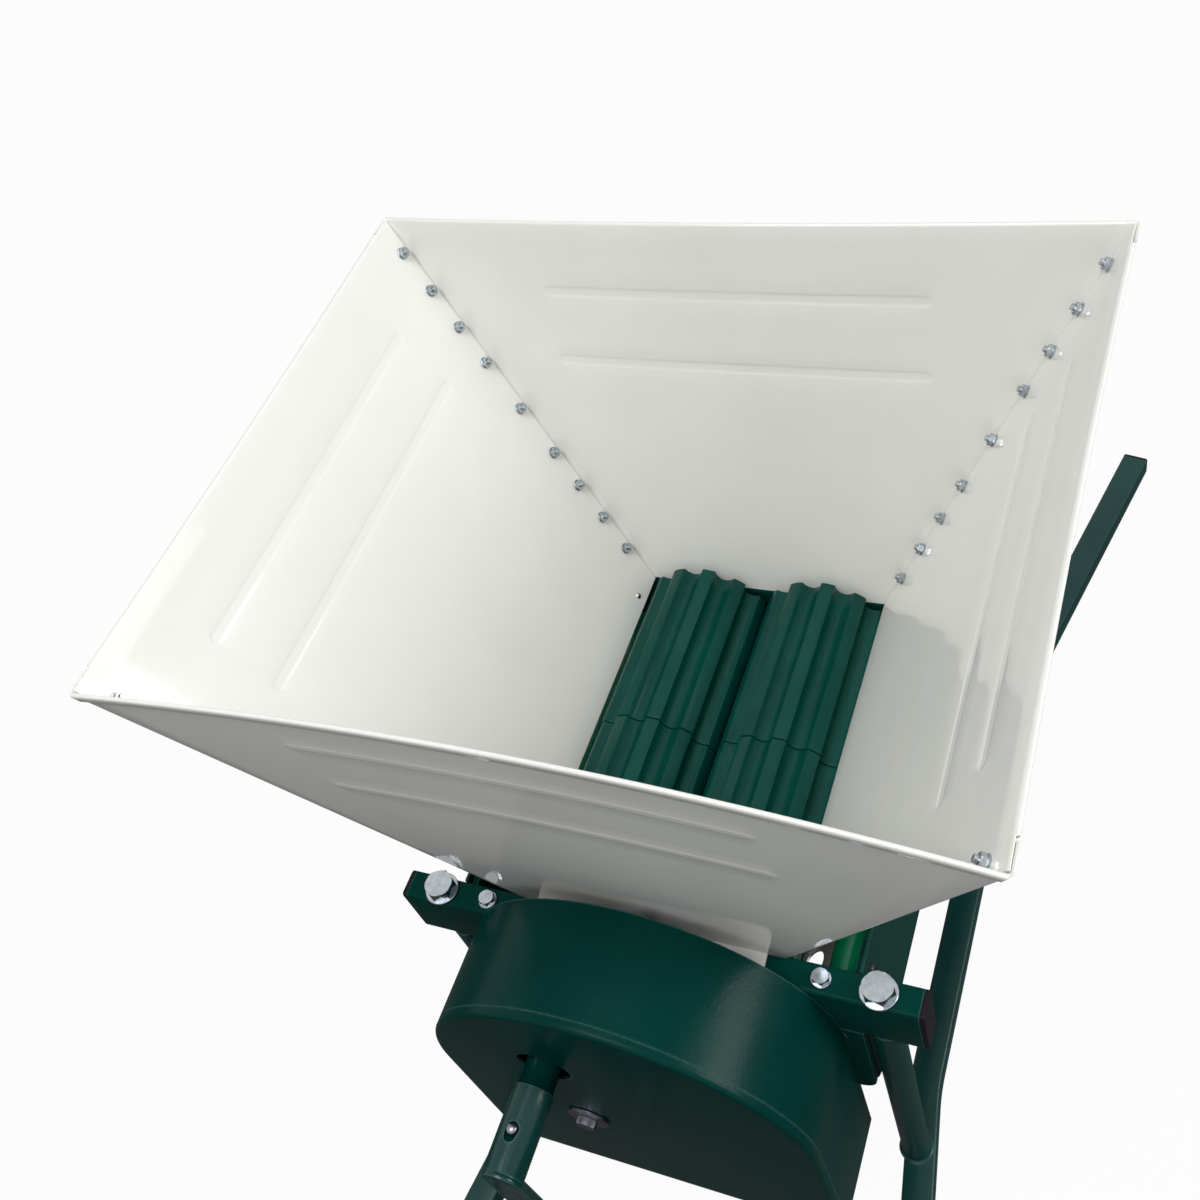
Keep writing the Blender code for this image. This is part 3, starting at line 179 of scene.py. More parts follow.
@dataclass(frozen=True)
class Finish:
    """One surface finish: a colour that drifts into a shade, its gloss and its fine relief.

    Lengths are in metres: drift_size is the breadth of the colour's patches and grain_size
    that of the relief. The paler edge colour is a painted highlight, put along the edges
    where they would catch the light.
    """

    name: str
    slot: str
    colour: Triple
    shade: Triple
    roughness: float
    roughness_drift: float = 0.05
    metallic: float = 0.0
    drift_size: float = 60 * MM
    grain_size: float = 1.2 * MM
    relief: float = 0.02
    specular: float = 0.5
    ior: float = 1.5
    brushed: Triple = (1.0, 1.0, 1.0)
    worn: Triple | None = None
    least_roughness: float = 0.02
    drift_detail: float = 3.0
    grain_detail: float = 2.0
    drift_span: Point = (0.3, 0.7)
    worn_radius: float = 2.2 * MM
    worn_samples: int = 6
    worn_span: Point = (0.985, 0.84)
    worn_most: float = 0.9

    def material(self) -> bpy.types.Material:
        """Return the finish's material, built on first use."""
        return bpy.data.materials.get(self.name) or self.build()

    def build(self) -> bpy.types.Material:
        """Build the material, with its colour drift, uneven gloss and fine relief."""
        material = bpy.data.materials.new(self.name)
        material.use_nodes = True
        tree = material.node_tree
        place = add_node(tree, "TexCoord").outputs["Object"]
        stretch = add_node(tree, "Mapping", {"Vector": place, "Scale": self.brushed})
        drift, grain = [
            add_node(tree, "TexNoise", {"Vector": stretch.outputs["Vector"], "Scale": 1 / size,
                                        "Detail": detail}).outputs["Fac"]
            for size, detail in ((self.drift_size, self.drift_detail),
                                 (self.grain_size, self.grain_detail))]
        ramp = add_node(tree, "ValToRGB", {"Fac": drift})
        for stop, position, tone in zip(ramp.color_ramp.elements, self.drift_span,
                                        (self.shade, self.colour)):
            stop.position, stop.color = position, linear(*tone)
        colour = ramp.outputs["Color"]
        gloss = add_node(tree, "MapRange", {
            "Value": drift, "To Max": self.roughness + self.roughness_drift,
            "To Min": max(self.roughness - self.roughness_drift, self.least_roughness)})
        bump = add_node(tree, "Bump", {"Height": grain, "Strength": self.relief,
                                       "Distance": self.grain_size})
        wire(tree, tree.nodes["Principled BSDF"], {
            "Base Color": self.wear(tree, colour, grain) if self.worn else colour,
            "Roughness": gloss.outputs["Result"], "Normal": bump.outputs["Normal"],
            "Metallic": self.metallic, "Specular IOR Level": self.specular, "IOR": self.ior})
        return material

    def wear(self, tree: bpy.types.NodeTree, colour: bpy.types.NodeSocket,
             grain: bpy.types.NodeSocket) -> bpy.types.NodeSocket:
        """Paint a highlight along the edges: the coat turns paler where an edge would catch the
        light.

        Args:
            tree: The material's node tree.
            colour: The coat's colour.
            grain: The noise that breaks the pale lines up.

        Returns:
            The socket with the coat's colour and its painted edge highlights.
        """
        # The Bevel node's normal parts from the surface's at edges; that mask places the painted
        # edge highlight.
        rounded = add_node(tree, "Bevel", {"Radius": self.worn_radius}, samples=self.worn_samples)
        surface = add_node(tree, "NewGeometry")
        match = add_node(tree, "VectorMath", {0: rounded.outputs["Normal"],
                                              1: surface.outputs["Normal"]},
                         operation="DOT_PRODUCT")
        edge = add_node(tree, "MapRange", {
            "Value": match.outputs["Value"], "From Min": self.worn_span[0],
            "From Max": self.worn_span[1], "To Max": self.worn_most})
        broken = add_node(tree, "Math", {0: edge.outputs["Result"], 1: grain},
                          operation="MULTIPLY")
        mix = add_node(tree, "Mix", {"Factor": broken.outputs["Value"], "A": colour,
                                     "B": linear(*self.worn)}, data_type="RGBA")
        return mix.outputs["Result"]


# Painted highlight: the pale green put along the edges of the green coats, standing for the light
# that the edges catch.
PAINTED_EDGE_HIGHLIGHT = (84, 124, 124)
DARK_GREEN = Finish("dark_green_powder_coat", "front_cross_bar", (3, 60, 53), (2, 52, 47), 0.26,
                    relief=0.05, grain_size=2.2 * MM, ior=1.1, worn=PAINTED_EDGE_HIGHLIGHT)
RAIL_GREEN = Finish("green_rail_coat", "left_rail_frame", (8, 62, 58), (4, 54, 51), 0.3,
                    relief=0.05, grain_size=2.2 * MM, ior=1.36, worn=PAINTED_EDGE_HIGHLIGHT)
COVER_GREEN = Finish("green_cover_coat", "gear_cover", (2, 54, 49), (1, 48, 44), 0.24,
                     relief=0.05, grain_size=2.4 * MM, ior=1.14, worn=PAINTED_EDGE_HIGHLIGHT)
CRANK_GREEN = Finish("green_crank_coat", "crank_handle", (3, 60, 56), (2, 52, 49), 0.22,
                     relief=0.04, grain_size=2.0 * MM, ior=1.36, worn=PAINTED_EDGE_HIGHLIGHT)
BRIGHT_GREEN = Finish("bright_green_powder_coat", "left_side_tube", (8, 166, 116), (5, 146, 100),
                      0.22, relief=0.04, grain_size=2.0 * MM, ior=1.42)
CREAM = Finish("cream_powder_coat", "hopper_front_panel", (238, 238, 234), (235, 235, 230), 0.06,
               roughness_drift=0.01, relief=0.003, grain_size=2.4 * MM, specular=0.35)
ROLLER_GREEN = Finish("moulded_roller_green", "left_roller_front_half", (4, 70, 61), (3, 62, 55),
                      0.2, relief=0.03, ior=1.24, drift_size=25 * MM, grain_size=1.0 * MM)
ZINC = Finish("bright_zinc", "zinc_fasteners", (192, 198, 203), (164, 172, 179), 0.24,
              metallic=1.0, drift_size=5 * MM, grain_size=0.5 * MM, relief=0.05)
MACHINED = Finish("machined_steel", "machined_steel", (176, 178, 180), (150, 152, 155), 0.3,
                  metallic=1.0, drift_size=8 * MM, grain_size=0.6 * MM, relief=0.08)
STAINLESS = Finish("satin_stainless", "stainless_steel", (204, 204, 200), (186, 187, 184), 0.28,
                   metallic=1.0, drift_size=30 * MM, grain_size=1.0 * MM, relief=0.06,
                   brushed=(1.0, 0.08, 1.0))
BRONZE = Finish("machined_bronze", "bronze_bushes", (196, 154, 92), (166, 124, 70), 0.32,
                metallic=1.0, drift_size=8 * MM, grain_size=0.6 * MM, relief=0.06)
BLACK_PLASTIC = Finish("black_moulded_plastic", "bar_and_rail_caps", (40, 35, 41), (30, 27, 32),
                       0.42, roughness_drift=0.06, relief=0.1, grain_size=0.7 * MM, ior=1.12)
# Painted shade: a darker copy of the zinc plating for the cover bolt, its washer and the snap
# button, its colour lowered to stand for the dark reflections they show.
PLATED_STEEL_PAINTED_SHADE = Finish("dull_plated_steel", "zinc_fasteners", (138, 139, 150), (112, 113, 124), 0.3,
                    metallic=1.0, drift_size=5 * MM, grain_size=0.5 * MM, relief=0.06)
BLACK_STEEL = Finish("blackened_steel", "machined_steel", (40, 42, 46), (28, 30, 34), 0.35,
                     roughness_drift=0.06, drift_size=4 * MM, grain_size=0.5 * MM, relief=0.06,
                     specular=0.4)


def at(axis: str, u: float, v: float, s: float) -> Vector:
    """Place outline coordinates (u, v) at station s along the x, y or z axis."""
    return {"x": Vector((s, u, v)), "y": Vector((u, s, v)), "z": Vector((u, v, s))}[axis]


def around(centre: Point, radius: float, turns: Iterable[float]) -> Outline:
    """Return a circle's points at the given angles."""
    return [(centre[0] + radius * math.cos(a), centre[1] + radius * math.sin(a)) for a in turns]


def circle(radius: float, sides: int, u: float = 0.0, v: float = 0.0) -> Outline:
    """Return a circle's points about (u, v)."""
    return around((u, v), radius, [FULL * index / sides for index in range(sides)])


def arc(centre: Point, radius: float, start: float, stop: float, steps: int) -> Outline:
    """Return points along an arc from one angle to another, both ends included."""
    return around(centre, radius,
                  [start + (stop - start) * index / steps for index in range(steps + 1)])


def rectangle(low: Point, high: Point, radius: float = 0.0) -> Outline:
    """Return a rectangle between two corners, counter-clockwise, with round corners if asked."""
    if radius <= 0:
        return [low, (high[0], low[1]), high, (low[0], high[1])]
    centres = rectangle((low[0] + radius, low[1] + radius), (high[0] - radius, high[1] - radius))
    points: Outline = []
    for index, centre in enumerate(centres):
        start = HALF + index * QUARTER
        points += arc(centre, radius, start, start + QUARTER, CORNER_STEPS)
    return points


def shaft_profile(radius: float, start: float, stop: float, edge: float) -> list[Point]:
    """Return the profile of a solid shaft with bevelled ends."""
    bevel = math.copysign(edge, stop - start)
    return [(0.0, start), (radius - edge, start), (radius, start + bevel), (radius, stop - bevel),
            (radius - edge, stop), (0.0, stop)]


def facing(point: Vector, direction: Vector) -> Matrix:
    """Return a frame at a point whose z axis runs along a direction."""
    turn = Vector((0, 0, 1)).rotation_difference(direction.normalized())
    return Matrix.Translation(point) @ turn.to_matrix().to_4x4()


class Mould:
    """A mesh under construction, made of lofts, turned shapes and plates."""

    fill_flatness = math.radians(0.5)

    def __init__(self) -> None:
        """Start an empty mesh."""
        self.shape = bmesh.new()

    def walls(self, low: Sequence[bmesh.types.BMVert], high: Sequence[bmesh.types.BMVert]) -> None:
        """Join two loops of vertices with a band of faces."""
        for index in range(len(low)):
            after = (index + 1) % len(low)
            self.shape.faces.new((low[index], low[after], high[after], high[index]))

    def loft(self, rings: Sequence[Sequence[Vector]], closed: bool = False) -> "Mould":
        """Join rings of as many points each, the last to the first if closed, or else capped."""
        made = [[self.shape.verts.new(point) for point in ring] for ring in rings]
        for low, high in zip(made, made[1:] + made[:1] if closed else made[1:]):
            self.walls(low, high)
        if not closed:
            self.shape.faces.new(made[0][::-1])
            self.shape.faces.new(made[-1])
        return self

    def stack(self, axis: str, levels: Iterable[tuple[Outline, float]],
              closed: bool = False) -> "Mould":
        """Loft outlines that lie at stations along an axis."""
        return self.loft([[at(axis, u, v, s) for u, v in ring] for ring, s in levels], closed)

    def turn(self, axis: str, profile: Sequence[Point], sides: int, u: float = 0.0,
             v: float = 0.0) -> "Mould":
        """Turn a closed profile about an axis through (u, v).

        Args:
            axis: The axis of the turned shape.
            profile: Its (radius, station) points; a radius of zero lies on the axis.
            sides: How many segments go round.
            u: The axis' first outline coordinate.
            v: The axis' second outline coordinate.

        Returns:
            The mould itself.
        """
        rings = []
        for radius, station in profile:
            points = circle(radius, sides, u, v) if radius else [(u, v)]
            rings.append([self.shape.verts.new(at(axis, a, b, station)) for a, b in points])
        for low, high in zip(rings, rings[1:] + rings[:1]):
            if len(low) == 1 and len(high) == 1:
                continue
            for index in range(sides):
                after = (index + 1) % sides
                corners = [low[index % len(low)], low[after % len(low)],
                           high[after % len(high)], high[index % len(high)]]
                self.shape.faces.new(list(dict.fromkeys(corners)))
        return self

    def rod(self, axis: str, radius: float, start: float, stop: float, sides: int,
            u: float = 0.0, v: float = 0.0) -> "Mould":
        """Turn a plain round bar about an axis through (u, v)."""
        profile = [(0.0, start), (radius, start), (radius, stop), (0.0, stop)]
        return self.turn(axis, profile, sides, u, v)

    def plate(self, axis: str, start: float, stop: float, outline: Outline,
              holes: Iterable[Outline] = ()) -> "Mould":
        """Extrude an outline with holes along an axis.

        Args:
            axis: The axis of the extrusion.
            start: The first face's station.
            stop: The last face's station.
            outline: The outer outline.
            holes: The holes' outlines.

        Returns:
            The mould itself.
        """
        ends = [[[self.shape.verts.new(at(axis, u, v, station)) for u, v in points]
                 for points in (outline, *holes)] for station in (start, stop)]
        for low, high in zip(*ends):
            self.walls(low, high)
        for loops in ends:
            edges = []
            for loop in loops:
                for first, second in zip(loop, loop[1:] + loop[:1]):
                    edges += [e for e in first.link_edges if second in e.verts][:1]
            bmesh.ops.triangle_fill(self.shape, edges=edges, use_beauty=True)
            bmesh.ops.dissolve_limit(self.shape, angle_limit=self.fill_flatness,
                                     verts=[v for loop in loops for v in loop],
                                     edges=[], use_dissolve_boundaries=False)
        return self

    def move(self, frame_of_piece: Matrix, first: int = 0) -> "Mould":
        """Move every vertex from the first one named into another frame."""
        self.shape.verts.ensure_lookup_table()
        bmesh.ops.transform(self.shape, matrix=frame_of_piece, verts=self.shape.verts[first:])
        return self

    def count(self) -> int:
        """Return how many vertices the mould has so far."""
        return len(self.shape.verts)

    def cast(self, name: str, smooth: float = 35.0) -> Piece:
        """Turn the mould into a piece in its place, shaded smooth up to an angle in degrees."""
        bmesh.ops.recalc_face_normals(self.shape, faces=self.shape.faces)
        mesh = bpy.data.meshes.new(name)
        self.shape.to_mesh(mesh)
        self.shape.free()
        piece = bpy.data.objects.new(name, mesh)
        piece.location = MACHINE_ORIGIN
        bpy.context.scene.collection.objects.link(piece)
        return shade(piece, smooth)


def shade(piece: Piece, smooth: float) -> Piece:
    """Shade a piece smooth up to an angle in degrees."""
    piece.data.shade_smooth()
    piece.data.set_sharp_from_angle(angle=math.radians(smooth))
    return piece


def shift(piece: Piece, place: Point) -> Piece:
    """Move a piece that was built about its own axis to that axis' place."""
    piece.location.x += place[0]
    piece.location.z += place[1]
    bpy.context.view_layer.update()
    return piece


def bake(piece: Piece) -> Piece:
    """Apply a piece's modifiers and delete the shapes that they used."""
    graph = bpy.context.evaluated_depsgraph_get()
    mesh = bpy.data.meshes.new_from_object(piece.evaluated_get(graph))
    tools = [m.object for m in piece.modifiers if m.type == "BOOLEAN"]
    piece.modifiers.clear()
    piece.data = mesh
    for tool in tools:
        bpy.data.objects.remove(tool, do_unlink=True)
    return piece


def combine(piece: Piece, tool: Mould | Piece, operation: str,
            smooth: float | None = None) -> Piece:
    """Cut, or join, a piece with a mould or with another piece.

    Args:
        piece: The piece that changes.
        tool: What it is cut or joined with.
        operation: DIFFERENCE or UNION.
        smooth: The angle in degrees up to which it is shaded smooth again, if at all.

    Returns:
        The changed piece.
    """
    modifier = piece.modifiers.new("combine", "BOOLEAN")
    modifier.operation = operation
    modifier.object = tool.cast(f"{piece.name}_tool") if isinstance(tool, Mould) else tool
    bake(piece)
    return shade(piece, smooth) if smooth else piece


def soften(piece: Piece, width: float, angle: float, segments: int = 2) -> Piece:
    """Round a piece's edges and let its flat faces shade flat.

    Args:
        piece: The piece to round.
        width: The width of the rounding.
        angle: The least angle in degrees of an edge that is rounded.
        segments: How many faces the rounding has.

    Returns:
        The changed piece.
    """
    modifier = piece.modifiers.new("soften", "BEVEL")
    modifier.width = width
    modifier.segments = segments
    modifier.limit_method = "ANGLE"
    modifier.angle_limit = math.radians(angle)
    modifier.harden_normals = True
    return bake(piece)


def fit(piece: Piece, finish: Finish, node: str | None = None, body: Body = Body.FRAME) -> Piece:
    """Dress a piece, set it on its body and let it stand for its solid.

    Args:
        piece: The piece.
        finish: Its finish.
        node: The solid that it stands for, if it has one.
        body: The body that carries it.

    Returns:
        The piece.
    """
    piece.data.materials.clear()
    piece.data.materials.append(finish.material())
    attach(piece, body.value)
    if node:
        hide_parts(node)
    log.info("%s: %d faces on %s", piece.name, len(piece.data.polygons), body.value)
    return piece


@dataclass(frozen=True)
class Hardware:
    """Hex bolts, nuts, washers and dark screws, turned along the z axis of their place.

    Each method adds to a mould. place is the frame that the piece lies in, base the height of
    its lower face, and reach how far its shank goes down. radius, head, shank and bore are
    radii, over the corners where there are any.
    """

    corner_steps: int = 4
    chamfer_share: float = 0.16
    turned_share: float = 0.9
    screw_head: float = 4.6 * MM
    screw_height: float = 2.6 * MM
    screw_shank: float = 2.4 * MM
    screw_tip_share: float = 0.8
    screw_socket: float = 1.9 * MM
    screw_socket_depth: float = 1.4 * MM
    screw_rim_share: float = 0.15
    screw_steps: int = 4
    screw_bevel: float = 0.4 * MM

    @property
    def sides(self) -> int:
        """Return how many points a hexagon has."""
        return 6 * self.corner_steps

    def hexagon(self, radius: float, limit: float = math.inf) -> Outline:
        """Return a hexagon sampled all round, cut to a circle of the limiting radius."""
        half_corner = HALF / 6
        points = []
        for index in range(self.sides):
            turn = FULL * index / self.sides
            off_flat = (turn + half_corner) % (2 * half_corner) - half_corner
            reach = radius * math.cos(half_corner) / math.cos(half_corner - abs(off_flat))
            points += around((0.0, 0.0), min(reach, limit), [turn])
        return points

    def bolt(self, mould: Mould, place: Matrix, head: float, height: float, shank: float,
             reach: float) -> None:
        """Add a hex bolt, its head above its place and its shank below."""
        first, chamfer = mould.count(), height * self.chamfer_share
        lid, body = self.hexagon(head, head * self.turned_share), self.hexagon(head)
        thread = circle(shank, self.sides)
        tip = circle(shank - shank * self.chamfer_share, self.sides)
        mould.stack("z", [(lid, height), (body, height - chamfer), (body, 0.0), (thread, 0.0),
                          (thread, chamfer / 2 - reach), (tip, -reach)])
        mould.move(place, first)

    def nut(self, mould: Mould, place: Matrix, radius: float, height: float, bore: float,
            base: float) -> None:
        """Add a hex nut, both its faces chamfered."""
        first, chamfer, top = mould.count(), height * self.chamfer_share, base + height
        lid, body = self.hexagon(radius, radius * self.turned_share), self.hexagon(radius)
        hole = circle(bore, self.sides)
        mould.stack("z", [(lid, base), (body, base + chamfer), (body, top - chamfer), (lid, top),
                          (hole, top), (hole, base)], closed=True)
        mould.move(place, first)

    def washer(self, mould: Mould, place: Matrix, radius: float, thickness: float, bore: float,
               base: float) -> None:
        """Add a flat washer with slightly rolled edges."""
        first, roll, top = mould.count(), thickness * self.chamfer_share, base + thickness
        mould.turn("z", [(bore, base), (radius - roll, base), (radius, base + roll),
                         (radius, top - roll), (radius - roll, top), (bore, top)],
                   LARGE_SIDES)
        mould.move(place, first)

    def screw(self, mould: Mould, seat: Vector, direction: Vector, reach: float) -> None:
        """Add one small button-headed screw on its seat, its head in the given direction."""
        first, top, socket, shank = (mould.count(), self.screw_height, self.screw_socket,
                                     self.screw_shank)
        floor, rim = top - self.screw_socket_depth, top * self.screw_rim_share
        profile = [(0.0, floor), (socket, floor), (socket, top)]
        for step in range(1, self.screw_steps + 1):
            turn = QUARTER * step / self.screw_steps
            profile.append((socket + (self.screw_head - socket) * math.sin(turn),
                            rim + (top - rim) * math.cos(turn)))
        profile += [(self.screw_head, 0.0), (shank, 0.0), (shank, self.screw_bevel - reach),
                    (shank * self.screw_tip_share, -reach), (0.0, -reach)]
        mould.turn("z", profile, SMALL_SIDES)
        mould.move(facing(seat, direction), first)


HARDWARE = Hardware()


@dataclass(frozen=True)
class Bush:
    """A flanged bronze bush."""

    radius: float = 14 * MM
    flange: float = 18 * MM
    thickness: float = 2.9 * MM
    edge: float = 0.5 * MM

    def build(self, name: str, node: str, outer: float, seat: float, axis: Point,
              eased: bool) -> None:
        """Build one bush along the y axis.

        Args:
            name: The piece's name.
            node: The solid that it stands for.
            outer: The station of its plain end.
            seat: The station of its flange's seat.
            axis: The place of its axis.
            eased: Whether the flange's edge at the seat is bevelled.
        """
        way = math.copysign(1, seat - outer)
        lip, edge, bore = seat + way * self.thickness, self.edge, LAYOUT.shaft_bore
        back = [(self.flange, seat)]
        if eased:
            back = [(self.flange - edge, seat), (self.flange, seat + way * edge)]
        profile = [(self.radius - edge, outer), (self.radius, outer + way * edge),
                   (self.radius, seat), *back, (self.flange, lip - way * edge),
                   (self.flange - edge, lip), (bore, lip), (bore, outer)]
        fit(Mould().turn("y", profile, ROUND_SIDES, *axis).cast(name), BRONZE, node)


BUSH = Bush()


def stations(start: float, stop: float, coarse: float,
             zones: Iterable[tuple[float, float, float]]) -> list[float]:
    """Return increasing stations that run closer together inside some zones.

    Args:
        start: The first station.
        stop: The last station.
        coarse: The step outside the zones.
        zones: For each zone its start, its stop and its step.

    Returns:
        The stations, both ends included.
    """
    marks = [start, stop]
    for low, high, step in zones:
        count = max(int(round((high - low) / step)), 1)
        marks += [low + (high - low) * index / count for index in range(count + 1)]
    marks = sorted(mark for mark in marks if start <= mark <= stop)
    filled = [marks[0]]
    for mark in marks[1:]:
        base, span = filled[-1], mark - filled[-1]
        if span >= LEAST_STEP:
            count = max(math.ceil(span / coarse), 1)
            filled += [base + span * (index + 1) / count for index in range(count)]
    return filled


@dataclass(frozen=True)
class Rib:
    """A pressed bead with round ends, parallel to the hopper's rim."""

    height: float
    start: float
    stop: float
    width: float = 9 * MM
    relief: float = 0.42 * MM
    slope: float = 2.2 * MM

    def lift(self, along: float, z: float) -> float:
        """Return how far the sheet is pressed out at a place on the panel."""
        end = min(max(along, self.start + self.width / 2), self.stop - self.width / 2)
        distance = math.hypot(along - end, z - self.height)
        share = min(max((self.width / 2 - distance) / self.slope, 0.0), 1.0)
        return self.relief * share ** 2 * (3 - 2 * share)


@dataclass
class Hopper:
    """The four bolted sheet panels of the hopper with their ribs, hems and foot tabs."""

    bottom: float = GAP
    rim: float = 296 * MM
    bottom_half_width: float = 91 * MM
    bottom_half_depth: float = 140.8 * MM
    top_half_width: float = 244 * MM
    top_half_depth: float = 201.5 * MM
    sheet: float = 1.5 * MM
    flange: float = 15 * MM
    bend: float = 1.0 * MM
    hem: float = 6 * MM
    hem_edge: float = 0.4 * MM
    hem_edge_level: float = 1.7
    hem_clear: float = 1 * MM
    fold_steps: int = 6
    row_step: float = 14 * MM
    rib_row_step: float = 0.8 * MM
    column_share: float = 0.07
    flange_zone: float = 0.3 * MM
    rib_end_share: float = 0.9
    rib_end_margin: float = 0.02
    seam_gap: float = 1.0 * MM
    front_bow: float = 11 * MM
    rear_bow: float = 4 * MM
    side_bow: float = 2 * MM
    tab_half_width: float = 81 * MM
    tab_reach: float = 160 * MM
    tab_thickness: float = 2 * MM
    tab_corner: float = 7 * MM
    tab_steps: int = 6
    seam_inset: float = 8 * MM
    seam_lowest: float = 34 * MM
    seam_step: float = 28 * MM
    seam_wide_step: float = 37 * MM
    seam_count: int = 9
    smooth: float = 45.0
    front_ribs: tuple[Rib, ...] = tuple(Rib(z * MM, -131 * MM, 131 * MM) for z in (257, 203))
    rear_ribs: tuple[Rib, ...] = tuple(Rib(z * MM, -132 * MM, 132 * MM) for z in (246, 193))
    side_ribs: tuple[Rib, ...] = tuple(Rib(z * MM, -131 * MM, 137 * MM) for z in (250, 207))

    def rise(self, z: float) -> float:
        """Return a height as a share of the hopper's height."""
        return (z - self.bottom) / (self.rim - self.bottom)

    def half_width(self, z: float) -> float:
        """Return the inner half width at a height."""
        return self.bottom_half_width + self.rise(z) * (self.top_half_width
                                                        - self.bottom_half_width)

    def half_depth(self, z: float) -> float:
        """Return the inner half depth at a height."""
        return self.bottom_half_depth + self.rise(z) * (self.top_half_depth
                                                        - self.bottom_half_depth)

    @property
    def side_slope(self) -> float:
        """Return how far the side panels lean out for each unit of height."""
        return (self.top_half_width - self.bottom_half_width) / (self.rim - self.bottom)

    @property
    def side_run(self) -> float:
        """Return the side panels' thickness measured level."""
        return self.sheet * math.hypot(1, self.side_slope)

    def build(self) -> None:
        """Build the four panels."""
        for end in End:
            self.build_end_panel(end)
        for side in Side:
            self.build_side_panel(side)

    def section(self, ribs: Sequence[Rib]) -> list[tuple[float, float, bool]]:
        """Return a panel's section from its foot up the inside, over the hem and down.

        Args:
            ribs: The ribs near which the section has more points.

        Returns:
            For each point its height, its offset in sheet thicknesses and whether it
            belongs to the hem.
        """
        fold = self.rim - self.sheet
        rows = stations(self.bottom, fold, self.row_step,
                        [(rib.height - rib.width / 2, rib.height + rib.width / 2,
                          self.rib_row_step) for rib in ribs])
        points = [(z, 0.0, False) for z in rows]
        for index in range(1, self.fold_steps):
            turn = HALF * index / self.fold_steps
            points.append((fold + self.sheet * math.sin(turn), 1 - math.cos(turn), True))
        hem = self.rim - self.hem
        points += [(fold, 2.0, True), (hem, 2.0, True),
                   (hem - self.hem_edge, self.hem_edge_level, True),
                   (hem - self.hem_edge, 1.0, False)]
        return points + [(z, 1.0, False) for z in reversed(rows) if z < hem - self.hem_clear]

    def bowed(self, amount: float, share: float, z: float) -> float:
        """Return how far a panel's face bows inwards, most at the middle of its rim."""
        return amount * (1 - share ** 2) * self.rise(z) ** 2

    def face_column(self, end: End, share: float, ribs: Sequence[Rib], bow: float,
                    rows: Sequence[tuple[float, float, bool]]) -> list[Vector]:
        """Return one column of an end panel's face, at a share of the face's half width."""
        points = []
        for z, offset, _ in rows:
            x = share * (self.half_width(z) + self.side_run + GAP - self.bend)
            y = self.half_depth(z) - self.bowed(bow, share, z) + offset * self.sheet
            y += sum(rib.lift(x, z) for rib in ribs)
            points.append(Vector((x, end.value * y, z)))
        return points

    def flange_column(self, end: End, side: Side, turn: float, back: float,
                      rows: Sequence[tuple[float, float, bool]]) -> list[Vector]:
        """Return one column of an end panel's bend at an angle, or some way back on its flange."""
        points = []
        for z, offset, in_hem in rows:
            level = offset / 2 if in_hem else offset
            radius = self.bend + min(level, 1.0) * self.sheet
            x = self.half_width(z) + self.side_run + GAP - self.bend + radius * math.sin(turn)
            y = self.half_depth(z) - self.bend + radius * math.cos(turn) - back
            points.append(Vector((side.value * x, end.value * y, z)))
        return points

    def build_end_panel(self, end: End) -> None:
        """Build the front or the back panel, with its flanges round the side panels."""
        front = end is End.FRONT
        ribs, bow = (self.front_ribs, self.front_bow) if front else (self.rear_ribs,
                                                                      self.rear_bow)
        rows, reach = self.section(ribs), ribs[0].stop
        high, low = ribs[0], ribs[-1]
        widest = reach / self.half_width(low.height)
        narrowest = (reach - high.width) / self.half_width(high.height)
        fine = self.rib_row_step / reach
        shares = stations(-1.0, 1.0, self.column_share,
                          [(narrowest, widest, fine), (-widest, -narrowest, fine)])
        folds = [(QUARTER, self.flange - self.bend), (QUARTER, 0.0), (HALF / 3, 0.0),
                 (HALF / 6, 0.0)]
        columns = [self.flange_column(end, Side.LEFT, *fold, rows) for fold in folds]
        columns += [self.face_column(end, share, ribs, bow, rows) for share in shares]
        columns += [self.flange_column(end, Side.RIGHT, *fold, rows) for fold in folds[::-1]]
        mould = Mould().loft(columns)
        self.add_tab(mould, end)
        fit(mould.cast(f"hopper_{end.word}_sheet", self.smooth), CREAM,
            "hopper_front_panel" if front else "hopper_back_panel")

    def add_tab(self, mould: Mould, end: End) -> None:
        """Add the tab bent out at an end panel's foot onto the cross bar."""
        root, corner, half = (self.bottom_half_depth + self.sheet / 2, self.tab_corner,
                              self.tab_half_width)
        high = self.tab_reach - corner
        outline = [(-half, root)]
        outline += arc((-half + corner, high), corner, HALF, QUARTER, self.tab_steps)
        outline += arc((half - corner, high), corner, QUARTER, 0, self.tab_steps)
        outline.append((half, root))
        mould.plate("z", self.bottom, self.bottom + self.tab_thickness,
                    [(x, end.value * y) for x, y in outline])

